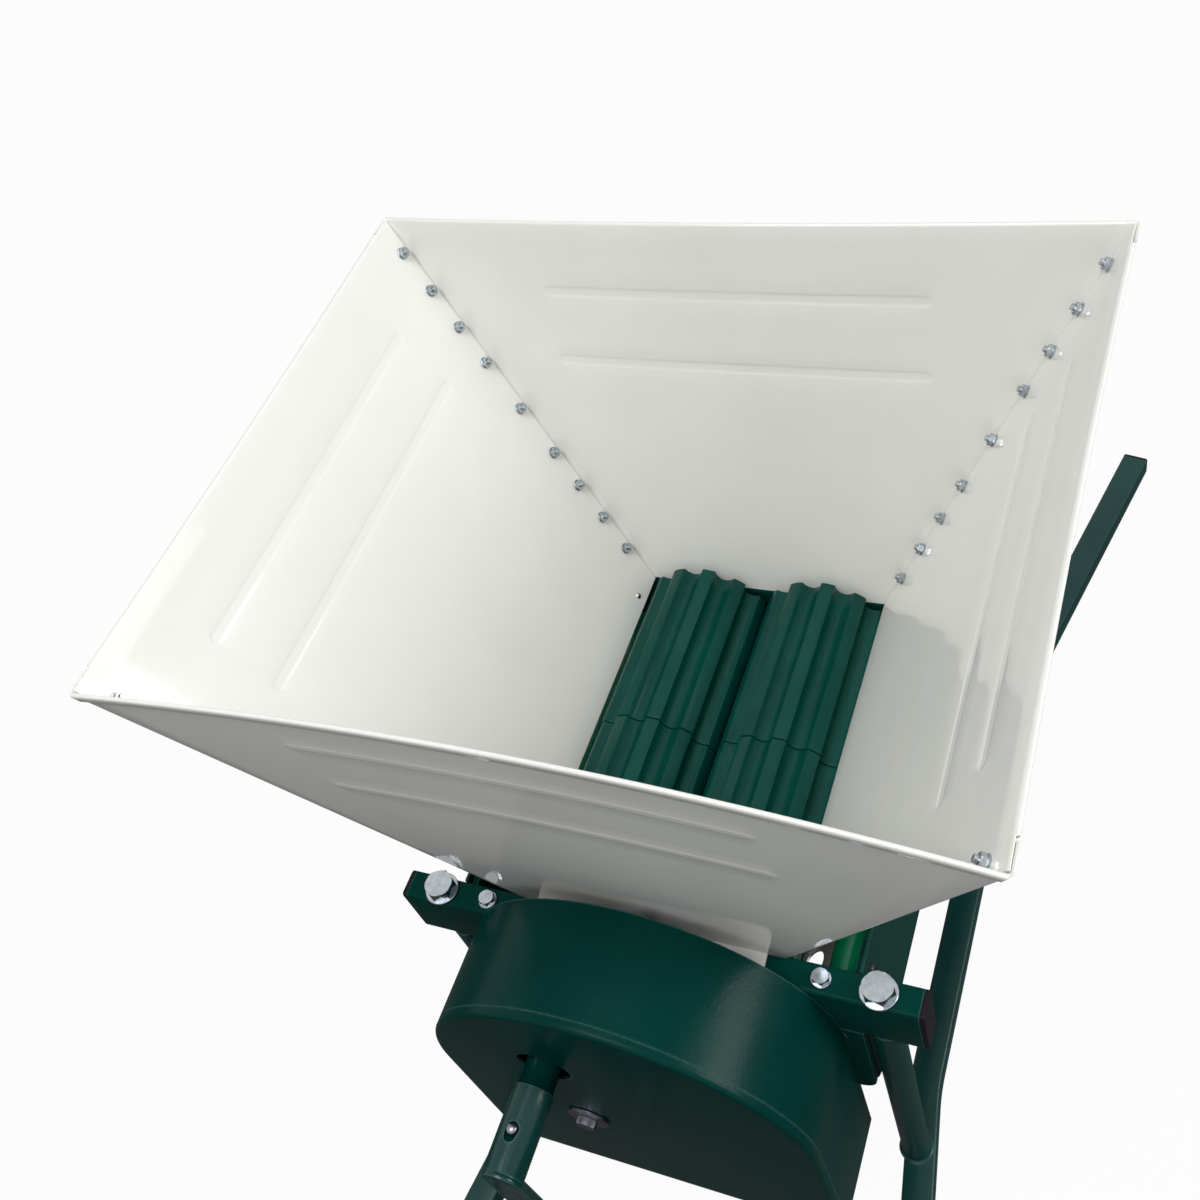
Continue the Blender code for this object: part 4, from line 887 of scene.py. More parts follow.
    def build_side_panel(self, side: Side) -> None:
        """Build one side panel, hemmed between the end panels' flanges."""
        ribs = self.side_ribs
        rows = self.section(ribs)
        mean = self.half_depth(sum(rib.height for rib in ribs) / len(ribs))
        hem_share, zone = 1 - self.flange / mean, self.flange_zone / mean
        zones = [(hem_share, hem_share + zone, zone), (-hem_share - zone, -hem_share, zone)]
        for end in (ribs[0].start, ribs[0].stop):
            low, high = sorted((end / mean, end / mean * self.rib_end_share))
            zones.append((low - self.rib_end_margin, high + self.rib_end_margin,
                          self.rib_row_step / mean))
        columns = []
        for share in stations(-1.0, 1.0, self.column_share, zones):
            points = []
            for z, offset, in_hem in rows:
                level = offset / 2 if in_hem and abs(share) > hem_share else offset
                y = share * (self.half_depth(z) - self.seam_gap)
                x = self.half_width(z) - self.bowed(self.side_bow, share, z)
                x += sum(rib.lift(y, z) for rib in ribs) + level * self.side_run
                points.append(Vector((side.value * x, y, z)))
            columns.append(points)
        fit(Mould().loft(columns).cast(f"hopper_{side.word}_sheet", self.smooth), CREAM,
            f"hopper_{side.word}_panel")

    def seam_heights(self) -> list[float]:
        """Return the heights of a seam's fasteners, spread wider beside the middle one."""
        heights = [self.seam_lowest]
        middle = self.seam_count // 2
        for index in range(1, self.seam_count):
            wide = index in (middle, middle + 1)
            heights.append(heights[-1] + (self.seam_wide_step if wide else self.seam_step))
        return heights

    def seam_frame(self, side: Side, end: End, z: float) -> Matrix:
        """Return a fastener's frame on a side panel's inside, its z axis pointing out."""
        y = end.value * (self.half_depth(z) - self.seam_inset)
        return facing(Vector((side.value * self.half_width(z), y, z)),
                      Vector((side.value, 0, -self.side_slope)))


@dataclass
class HopperFasteners:
    """The screws and rivets at the hopper's foot, and the bolts that hold its seams."""

    hopper: Hopper
    tab_top: float = 2.35 * MM
    tab_reach: float = 9 * MM
    rivet_place: Point = (115 * MM, 8 * MM)
    rivet_radius: float = 2.4 * MM
    rivet_sink: float = 0.1 * MM
    rivet_shares: tuple[Point, ...] = ((0.0, 0.45), (0.5, 0.4), (0.85, 0.22), (1.0, 0.0),
                                       (0.6, 0.0), (0.6, -2.0), (0.0, -2.0))
    thread: float = 2.0 * MM
    head: float = 4.0 * MM
    head_height: float = 2.8 * MM
    nut_height: float = 3.2 * MM
    nut_gap: float = 0.05 * MM
    washer: float = 4.3 * MM
    washer_thickness: float = 0.7 * MM
    tip: float = 2.2 * MM
    spins: Triple = (0.7, 1.0, 0.4)

    def build(self) -> None:
        """Build the tabs' screws, the side panels' rivets and the four seams' bolts."""
        screws, rivets = Mould(), Mould()
        for end in End:
            HARDWARE.screw(screws, Vector((0, end.value * LAYOUT.bar_y, self.tab_top)),
                           Vector((0, 0, 1)), self.tab_reach)
        fit(screws.cast("hopper_tab_screws"), BLACK_STEEL)
        profile = [(u * self.rivet_radius, v * self.rivet_radius) for u, v in self.rivet_shares]
        for side in Side:
            y, z = -side.value * self.rivet_place[0], self.rivet_place[1]
            first = rivets.count()
            rivets.turn("z", profile, SMALL_SIDES)
            seat = Vector((side.value * (self.hopper.half_width(z) - self.rivet_sink), y, z))
            rivets.move(facing(seat, Vector((-side.value, 0, self.hopper.side_slope))), first)
        fit(rivets.cast("hopper_foot_rivets"), ZINC)
        for side in Side:
            for end in End:
                self.build_seam(side, end)

    def build_seam(self, side: Side, end: End) -> None:
        """Build the bolts, washers and nuts of one seam."""
        bolts, washers, nuts = Mould(), Mould(), Mould()
        stack = 2 * self.hopper.sheet + 2 * GAP
        washer_base = -self.washer_thickness - GAP
        nut_base = washer_base - self.nut_height - self.nut_gap
        by_index, by_side, by_end = self.spins
        for index, z in enumerate(self.hopper.seam_heights()):
            turn = by_index * index + by_side * side.value + by_end * end.value
            place = self.hopper.seam_frame(side, end, z) @ Matrix.Rotation(turn, 4, "Z")
            HARDWARE.bolt(bolts, place @ Matrix.Translation((0, 0, stack)), self.head,
                          self.head_height, self.thread, stack - nut_base + self.tip)
            HARDWARE.washer(washers, place, self.washer, self.washer_thickness,
                            self.thread + GAP / 2, washer_base)
            HARDWARE.nut(nuts, place, self.head, self.nut_height, self.thread + GAP / 4,
                         nut_base)
        for mould, word in ((bolts, "bolts"), (washers, "washers"), (nuts, "nuts")):
            fit(mould.cast(f"{end.word}_{side.word}_seam_{word}"), ZINC)


@dataclass
class CrossBars:
    """The two rectangular cross bars with their lugs and end caps."""

    half_length: float = 179 * MM
    wall: float = 2 * MM
    corner: float = 2.6 * MM
    overrun: float = 6 * MM
    cap_thickness: float = 3 * MM
    cap_rim: float = 1.0 * MM
    cap_rim_steps: int = 3
    cap_corner_share: float = 0.6
    plug: float = 12 * MM
    plug_corner: float = 0.3 * MM
    tab_hole: float = 2.6 * MM
    lug_outer: float = 138 * MM
    lug_thickness: float = 4 * MM
    lug_length: float = 26 * MM
    lug_top: float = -8 * MM
    lug_height: float = 34 * MM
    lug_hole: float = 2.8 * MM

    def build(self) -> None:
        """Build both bars with their caps."""
        for end in End:
            self.build_bar(end)
            for side in Side:
                self.build_cap(end, side)

    def section(self, end: End, inset: float, radius: float) -> Outline:
        """Return a bar's section, set in from its faces."""
        y, half = end.value * LAYOUT.bar_y, LAYOUT.bar_half_depth - inset
        return rectangle((y - half, inset - LAYOUT.bar_height), (y + half, -inset), radius)

    def build_bar(self, end: End) -> None:
        """Build one bar, bored for the bushes and the bolts, with its two lugs."""
        bar = Mould().plate("x", -self.half_length, self.half_length,
                            self.section(end, 0.0, self.corner),
                            [self.section(end, self.wall, self.corner - self.wall)])
        bar = bar.cast(f"{end.word}_bar", FLAT_ANGLE)
        cuts, lugs, y = Mould(), Mould(), end.value * LAYOUT.bar_y
        reach = LAYOUT.bar_half_depth + self.overrun
        through = (-LAYOUT.bar_height - reach, reach)
        for side in Side:
            cuts.rod("y", LAYOUT.bush_hole, y - reach, y + reach, LARGE_SIDES,
                     side.value * LAYOUT.roller[0], LAYOUT.roller[1])
            cuts.rod("z", LAYOUT.post_bolt_hole, *through, MIDDLE_SIDES,
                     side.value * LAYOUT.post_x, y)
            cuts.rod("z", LAYOUT.tube_bolt_hole, *through, SMALL_SIDES,
                     side.value * LAYOUT.tube[0], y)
            self.add_lug(lugs, side, end)
        cuts.rod("z", self.tab_hole, -LAYOUT.bar_height / 2, reach, SMALL_SIDES, 0.0, y)
        combine(bar, cuts, "DIFFERENCE")
        fit(combine(bar, lugs, "UNION", FLAT_ANGLE), DARK_GREEN, f"{end.word}_cross_bar")

    def add_lug(self, mould: Mould, side: Side, end: End) -> None:
        """Add the lug on a bar's inner face that a side plate is screwed to."""
        face = LAYOUT.bar_y - LAYOUT.bar_half_depth
        ys = sorted((end.value * (face - self.lug_length), end.value * (face + self.wall / 2)))
        xs = sorted((side.value * (self.lug_outer - self.lug_thickness),
                     side.value * self.lug_outer))
        low = self.lug_top - self.lug_height
        hole = circle(self.lug_hole, SMALL_SIDES, end.value * (face - self.lug_length / 2),
                      (self.lug_top + low) / 2)
        mould.plate("x", *xs, rectangle((ys[0], low), (ys[1], self.lug_top)), [hole])

    def build_cap(self, end: End, side: Side) -> None:
        """Build one end cap with its plug and rounded rim."""
        seat, rim = self.half_length + GAP, self.cap_rim
        face = seat + self.cap_thickness - rim
        plug = self.section(end, self.wall + GAP, self.plug_corner)
        levels = [(plug, self.half_length - self.plug), (plug, seat)]
        rounding = [(0.0, seat)]
        for step in range(self.cap_rim_steps + 1):
            turn = QUARTER * step / self.cap_rim_steps
            rounding.append((rim * (1 - math.cos(turn)), face + rim * math.sin(turn)))
        levels += [(self.section(end, inset, self.corner - inset * self.cap_corner_share), x)
                   for inset, x in rounding]
        piece = Mould().stack("x", [(ring, side.value * x) for ring, x in levels])
        fit(piece.cast(f"{end.word}_{side.word}_bar_end_cap"), BLACK_PLASTIC,
            f"{end.word}_{side.word}_bar_cap")


@dataclass(frozen=True)
class BarBolt:
    """The sizes of one kind of bolt on the bars, of its washer and of its place."""

    x: float
    head: float
    height: float
    shank: float
    washer: float
    thickness: float
    depth: float
    spins: Triple

    def add(self, mould: Mould, end: End, side: Side) -> Matrix:
        """Add one bolt with its washer, and return the frame of its place on the bar."""
        seat = GAP + self.thickness
        place = Matrix.Translation((side.value * self.x, end.value * LAYOUT.bar_y, 0))
        base, by_side, by_end = self.spins
        spin = Matrix.Rotation(base + by_side * side.value + by_end * end.value, 4, "Z")
        HARDWARE.bolt(mould, place @ Matrix.Translation((0, 0, seat)) @ spin, self.head,
                      self.height, self.shank, seat + self.depth)
        HARDWARE.washer(mould, place, self.washer, self.thickness, self.shank + GAP / 2, GAP)
        return place


@dataclass
class BarBolts:
    """The large bolts that clamp the bars to their posts and the small ones of the tubes."""

    post: BarBolt = BarBolt(LAYOUT.post_x, 11 * MM, 7.5 * MM, 6 * MM, 12 * MM, 2.5 * MM,
                            78 * MM, (0.5, 0.8, 0.3))
    tube: BarBolt = BarBolt(LAYOUT.tube[0], 5.8 * MM, 4 * MM, 3 * MM, 6.5 * MM, 1.6 * MM,
                            80.3 * MM, (0.2, 0.5, 0.9))
    nut_height: float = 5 * MM
    tube_bottom: float = -72.3 * MM

    def build(self) -> None:
        """Build the bolts of both bars."""
        for end in End:
            for side in Side:
                corner = f"{end.word}_{side.word}"
                mould = Mould()
                self.post.add(mould, end, side)
                fit(mould.cast(f"{corner}_post_bolt_and_washer"), ZINC, f"{corner}_post_bolt")
                mould = Mould()
                place = self.tube.add(mould, end, side)
                HARDWARE.nut(mould, place, self.tube.head, self.nut_height,
                             self.tube.shank + GAP / 4, self.tube_bottom - GAP - self.nut_height)
                fit(mould.cast(f"{corner}_tube_bolt_set"), ZINC, f"{corner}_tube_bolt")


@dataclass
class Stand:
    """The two bent square rails with the round posts welded on them and their end caps."""

    post_radius: float = 10.65 * MM
    post_top: float = -50.3 * MM
    post_edge: float = 0.5 * MM
    bore_depth: float = 32 * MM
    rail_side: float = 151 * MM
    rail_top: float = -300 * MM
    half: float = 10 * MM
    inward: float = 14 * MM
    wall: float = 1.6 * MM
    corner: float = 2.4 * MM
    least_corner: float = 0.4 * MM
    bends: Point = (-100 * MM, 260 * MM)
    ends: tuple[Point, Point] = ((200.3 * MM, -449.5 * MM), (226.55 * MM, 589.2 * MM))
    bend_reach: float = 14 * MM
    bend_steps: int = 6
    bead: float = 2.6 * MM
    bead_turns: tuple[float, ...] = (0.05, 0.5, 1.0, 1.5)
    cap_thickness: float = 3 * MM
    cap_rim: float = 1.0 * MM
    cap_rim_share: float = 0.3
    plug: float = 12 * MM

    def build(self) -> None:
        """Build both rails with their posts, beads and caps."""
        for side in Side:
            self.build_rail(side)
            for end in End:
                self.build_cap(side, end)

    def path(self, side: Side) -> list[Vector]:
        """Return the rail's middle line, its two bends drawn as short arcs."""
        corners = [Vector(self.ends[0]), *(Vector((self.rail_side, y)) for y in self.bends),
                   Vector(self.ends[1])]
        points = [corners[0]]
        for before, here, after in zip(corners, corners[1:], corners[2:]):
            start = here + (before - here).normalized() * self.bend_reach
            stop = here + (after - here).normalized() * self.bend_reach
            for step in range(self.bend_steps + 1):
                share = step / self.bend_steps
                points.append(start.lerp(here, share).lerp(here.lerp(stop, share), share))
        points.append(corners[-1])
        return [Vector((side.value * point.x, point.y)) for point in points]

    def section(self, side: Side, inset: float) -> Outline:
        """Return one rail's outline, set in from its outer faces."""
        spans = sorted((side.value * (inset - self.inward), side.value * (self.half - inset)))
        return rectangle((spans[0], inset - self.half), (spans[1], self.half - inset),
                         max(self.corner - inset, self.least_corner))

    def rail_rings(self, side: Side, inset: float) -> list[list[Vector]]:
        """Return the rings of one face of a rail's wall, each square to its middle line."""
        path = self.path(side)
        rings, middle = [], self.rail_top - self.half
        for index, here in enumerate(path):
            before, after = path[max(index - 1, 0)], path[min(index + 1, len(path) - 1)]
            run = (after - before).normalized()
            rings.append([Vector((here.x + run.y * u, here.y - run.x * u, middle + v))
                          for u, v in self.section(side, inset)])
        return rings

    def build_rail(self, side: Side) -> None:
        """Build one rail, open at its ends, with two bored posts and their weld beads."""
        mould = Mould().loft(self.rail_rings(side, 0.0)
                             + self.rail_rings(side, self.wall)[::-1], closed=True)
        root, top, foot = self.rail_top - self.wall / 2, self.post_top, self.rail_top
        radius, bore, floor = self.post_radius, LAYOUT.post_bolt_hole, top - self.bore_depth
        profile = [(0.0, root), (radius, root)]
        profile += [(radius + self.bead * (1 - math.sin(turn)),
                     foot + self.bead * (1 - math.cos(turn))) for turn in self.bead_turns]
        profile += [(radius, foot + self.bead), (radius, top - self.post_edge),
                    (radius - self.post_edge, top), (bore, top), (bore, floor), (0.0, floor)]
        for end in End:
            mould.turn("z", profile, LARGE_SIDES, side.value * LAYOUT.post_x,
                       end.value * LAYOUT.bar_y)
        fit(mould.cast(f"{side.word}_rail_and_posts", FLAT_ANGLE), RAIL_GREEN,
            f"{side.word}_rail_frame")

    def build_cap(self, side: Side, end: End) -> None:
        """Build the plastic cap in one end of a rail."""
        index = 0 if end is End.FRONT else 1
        x, y = self.ends[index]
        splay = math.atan2(x - self.rail_side, abs(y - self.bends[index]))
        face, plug, rim = GAP + self.cap_thickness, self.wall + GAP, self.cap_rim
        small = self.cap_rim_share * rim
        levels = [(plug, -self.plug), (plug, GAP), (0.0, GAP), (0.0, face - rim),
                  (small, face - small), (rim, face)]
        place = (Matrix.Translation((side.value * x, y, self.rail_top - self.half))
                 @ Matrix.Diagonal((1, end.value, 1, 1))
                 @ Matrix.Rotation(-side.value * splay, 4, "Z"))
        piece = Mould().stack("y", [(self.section(side, inset), s) for inset, s in levels])
        fit(piece.move(place).cast(f"{end.word}_{side.word}_rail_end_cap"), BLACK_PLASTIC,
            f"{end.word}_{side.word}_rail_cap")


@dataclass
class SideTubes:
    """The two bright green tubes bolted under the bars."""

    radius: float = 11 * MM
    wall: float = 2 * MM
    half_length: float = 160 * MM
    edge: float = 0.4 * MM

    def build(self) -> None:
        """Build both tubes with the holes of their bolts."""
        inner, length = self.radius - self.wall, self.half_length
        profile = [(inner, -length), *shaft_profile(self.radius, -length, length, self.edge)[1:-1],
                   (inner, length)]
        offset, z = LAYOUT.tube
        for side in Side:
            x, cuts = side.value * offset, Mould()
            tube = Mould().turn("y", profile, ROUND_SIDES, x, z).cast(f"{side.word}_green_tube")
            for end in End:
                cuts.rod("z", LAYOUT.tube_bolt_hole, z - 2 * self.radius, z + 2 * self.radius,
                         SMALL_SIDES, x, end.value * LAYOUT.bar_y)
            fit(combine(tube, cuts, "DIFFERENCE", FLAT_ANGLE), BRIGHT_GREEN,
                f"{side.word}_side_tube")


@dataclass
class Rollers:
    """The two lobed rollers, each in two halves on one shaft, and their flanged bushes."""

    lobes: int = 12
    points_per_lobe: int = 36
    ridge: float = 0.3 * MM
    ridge_step: int = 7
    crest_radius: float = 48.75 * MM
    lobe_depth: float = 7 * MM
    crest_gain: float = 3.6
    hollow_share: float = 0.2
    crest_turn: float = math.radians(82.5)
    half_length: float = 136.4 * MM
    joint_gap: float = 1.0 * MM
    edge: float = 0.6 * MM
    edge_share: float = 0.3
    smooth: float = 50.0
    shaft_rear: float = 166 * MM
    shaft_edge: float = 1 * MM
    left_shaft_front: float = -300 * MM
    right_shaft_front: float = -194 * MM
    socket_bore: float = 7 * MM
    socket_depth: float = 55 * MM
    button_hole: float = 4.3 * MM
    bush_ends: Point = (161.5 * MM, 139.7 * MM)

    def build(self) -> None:
        """Build both rollers with their shafts and bushes."""
        self.build_halves(Side.LEFT, self.crest_turn)
        self.build_halves(Side.RIGHT, HALF - self.crest_turn - HALF / self.lobes)
        self.build_shafts()
        for end in End:
            for side in Side:
                outer, seat = (end.value * station for station in self.bush_ends)
                BUSH.build(f"{end.word}_{side.word}_flanged_bush",
                           f"{end.word}_{side.word}_roller_bush", outer, seat,
                           (side.value * LAYOUT.roller[0], LAYOUT.roller[1]), eased=True)

    def outline(self, centre: Point, turn: float, inset: float) -> Outline:
        """Return the lobed outline, with full crowns and hollows that match them.

        Args:
            centre: The place of the roller's axis.
            turn: The angle of the first crest.
            inset: How far the outline is drawn in.

        Returns:
            The outline.
        """
        count = self.lobes * self.points_per_lobe
        middle = self.crest_radius - self.lobe_depth / 2
        points = []
        for index in range(count):
            angle = FULL * index / count
            wave = math.cos(self.lobes * angle)
            swell = wave * (1 + self.hollow_share * (1 - wave ** 2))
            if wave > 0:
                swell = math.tanh(self.crest_gain * wave) / math.tanh(self.crest_gain)
            step = min(index % self.points_per_lobe, -index % self.points_per_lobe)
            ridge = self.ridge if step == self.ridge_step else 0.0
            radius = middle + swell * self.lobe_depth / 2 + ridge - inset
            points += around(centre, radius, [angle + turn])
        return points

    def build_halves(self, side: Side, turn: float) -> None:
        """Build the two halves of one roller, whose first crest lies at an angle."""
        centre = (side.value * LAYOUT.roller[0], LAYOUT.roller[1])
        count = self.lobes * self.points_per_lobe
        bore = around(centre, LAYOUT.shaft_bore,
                      [turn + FULL * index / count for index in range(count)])
        edge, small = self.edge, self.edge * self.edge_share
        near, far = self.joint_gap / 2, self.half_length
        levels = [(edge, near), (small, near + small), (0.0, near + edge), (0.0, far - edge),
                  (small, far - small), (edge, far)]
        rings = [(self.outline(centre, turn, inset), y) for inset, y in levels]
        for end in End:
            piece = Mould().stack("y", [(ring, end.value * y)
                                        for ring, y in [*rings, (bore, far), (bore, near)]],
                                  closed=True)
            fit(piece.cast(f"{side.word}_{end.word}_lobed_half", self.smooth), ROLLER_GREEN,
                f"{side.word}_roller_{end.word}_half",
                Body.LEFT_ROLLER if side is Side.LEFT else Body.RIGHT_ROLLER)

    def build_shafts(self) -> None:
        """Build the driven shaft, hollow where the button sits, and the other roller's shaft."""
        front, floor = self.left_shaft_front, self.left_shaft_front + self.socket_depth
        profile = shaft_profile(LAYOUT.shaft, self.shaft_rear, front, self.shaft_edge)[:-1]
        profile += [(self.socket_bore, front), (self.socket_bore, floor), (0.0, floor)]
        x, z = LAYOUT.driven
        shaft = Mould().turn("y", profile, ROUND_SIDES, x, z).cast("driven_shaft")
        cut = Mould().rod("z", self.button_hole, z, z + 2 * LAYOUT.shaft, MIDDLE_SIDES, x,
                          LAYOUT.button_y)
        fit(combine(shaft, cut, "DIFFERENCE"), CRANK_GREEN, "left_roller_shaft",
            Body.LEFT_ROLLER)
        profile = shaft_profile(LAYOUT.shaft, self.shaft_rear, self.right_shaft_front,
                                self.shaft_edge)
        shaft = Mould().turn("y", profile, ROUND_SIDES, *LAYOUT.roller).cast("idle_shaft")
        fit(shaft, MACHINED, "right_roller_shaft", Body.RIGHT_ROLLER)


@dataclass
class Gears:
    """The four gears of the drive and the fixed axle of the idler."""

    module: float = 3 * MM
    rear: float = -166 * MM
    thickness: float = 16 * MM
    addendum: float = 0.85
    dedendum: float = 1.2
    flank: tuple[Point, ...] = ((0.0, 0.28), (0.33, 0.235), (0.66, 0.176), (1.0, 0.11))
    chamfer: float = 0.6 * MM
    web_recess: float = 3 * MM
    web_teeth: int = 20
    hub_margin: float = 7 * MM
    rim_margin: float = 9 * MM
    ring_lag: float = 3.5
    teeth: tuple[int, int, int] = (31, 30, 16)
    first_turn: float = math.radians(2)
    axle: float = 8 * MM
    axle_front: float = -238 * MM
    axle_edge: float = 0.6 * MM
    axle_flange: float = 13 * MM
    axle_flange_thickness: float = 4.5 * MM
    axle_tail: float = 6 * MM
    thread: float = 4.3 * MM
    thread_depth: float = 24 * MM
    collar: float = 12 * MM
    collar_thickness: float = 5 * MM
    collar_edge: float = 0.4 * MM

    @staticmethod
    def meshed(turn: float, start: Point, stop: Point, teeth: int, other_teeth: int) -> float:
        """Return the turn of a gear at stop whose gaps meet the teeth of the turned one at start."""
        direction = math.atan2(stop[1] - start[1], stop[0] - start[0])
        share = (direction - turn) * teeth / FULL
        return direction + HALF - (0.5 - share) * FULL / other_teeth

    def build(self) -> None:
        """Build the gears in mesh, the idler's axle and its collar."""
        roller, idler, pinion = self.teeth
        first, axes = self.first_turn, LAYOUT
        idler_turn = self.meshed(first, axes.driven, axes.idler, roller, idler)
        for gear in (
                ("left_drive_gear", "left_roller_gear", Body.LEFT_ROLLER, axes.driven, roller,
                 first, axes.shaft),
                ("right_drive_gear", "right_roller_gear", Body.RIGHT_ROLLER, axes.roller, roller,
                 self.meshed(first, axes.driven, axes.roller, roller, roller), axes.shaft),
                ("middle_gear", "idler_gear", Body.IDLER, axes.idler, idler, idler_turn,
                 self.axle),
                ("beater_gear", "beater_pinion", Body.BEATER, axes.beater, pinion,
                 self.meshed(idler_turn, axes.idler, axes.beater, idler, pinion), axes.shaft)):
            self.build_gear(*gear)
        self.build_axle()

    def outline(self, axis: Point, teeth: int, turn: float, inset: float) -> Outline:
        """Return a gear's outline with slightly bulging tooth flanks."""
        pitch, step = self.module * teeth / 2, FULL / teeth
        tip = pitch + self.addendum * self.module - inset
        root = pitch - self.dedendum * self.module - inset
        flank = [(root + (tip - root) * rise, share * step) for rise, share in self.flank]
        points = []
        for index in range(teeth):
            centre = turn + index * step
            for radius, half in flank:
                points += around(axis, radius, [centre - half])
            for radius, half in reversed(flank):
                points += around(axis, radius, [centre + half])
        return points

    def build_gear(self, name: str, node: str, body: Body, axis: Point, teeth: int, turn: float,
                   hole: float) -> None:
        """Build one gear with chamfered teeth and, where it is wide enough, a thin web.

        Args:
            name: The piece's name.
            node: The solid that it stands for.
            body: The body that carries it.
            axis: The place of its axis.
            teeth: How many teeth it has.
            turn: The angle of its first tooth.
            hole: The radius of the shaft in it.
        """
        front, rear, chamfer = self.rear - self.thickness, self.rear, self.chamfer
        levels = [(self.outline(axis, teeth, turn, inset), y)
                  for inset, y in ((chamfer, front), (0.0, front + chamfer),
                                   (0.0, rear - chamfer), (chamfer, rear))]
        bore, recess = hole + GAP, self.web_recess
        web = [(bore, 0.0)]
        if teeth > self.web_teeth:
            rim, hub = self.module * teeth / 2 - self.rim_margin, bore + self.hub_margin
            web = [(rim, 0.0), (rim - recess / 2, recess), (hub + recess / 2, recess),
                   (hub, 0.0), (bore, 0.0)]
        count = len(levels[0][0])
        turns = [turn + FULL * (index - self.ring_lag) / count for index in range(count)]
        levels += [(around(axis, radius, turns), rear - depth) for radius, depth in web]
        levels += [(around(axis, radius, turns), front + depth) for radius, depth in web[::-1]]
        fit(Mould().stack("y", levels, closed=True).cast(name, FLAT_ANGLE), MACHINED, node, body)

    def build_axle(self) -> None:
        """Build the idler's fixed axle with its flange, and the collar that keeps the gear."""
        seat, tail = LAYOUT.end_plate[0] - GAP, LAYOUT.end_plate[1]
        front, edge = self.axle_front, self.axle_edge
        flange, floor = seat - self.axle_flange_thickness, front + self.thread_depth
        profile = [(0.0, tail), (self.axle_tail, tail), (self.axle_tail, seat),
                   (self.axle_flange, seat), (self.axle_flange, flange), (self.axle, flange),
                   (self.axle, front + edge), (self.axle - edge, front), (self.thread, front),
                   (self.thread, floor), (0.0, floor)]
        piece = Mould().turn("y", profile, LARGE_SIDES, *LAYOUT.idler).cast("middle_gear_axle")
        fit(piece, MACHINED, "idler_axle")
        rear, bore = self.rear - self.thickness - GAP, self.axle + GAP
        front = rear - self.collar_thickness
        profile = [(bore, rear), *shaft_profile(self.collar, rear, front, self.collar_edge)[1:-1],
                   (bore, front)]
        piece = Mould().turn("y", profile, LARGE_SIDES, *LAYOUT.idler).cast("middle_gear_collar")
        fit(piece, ZINC, "idler_collar")


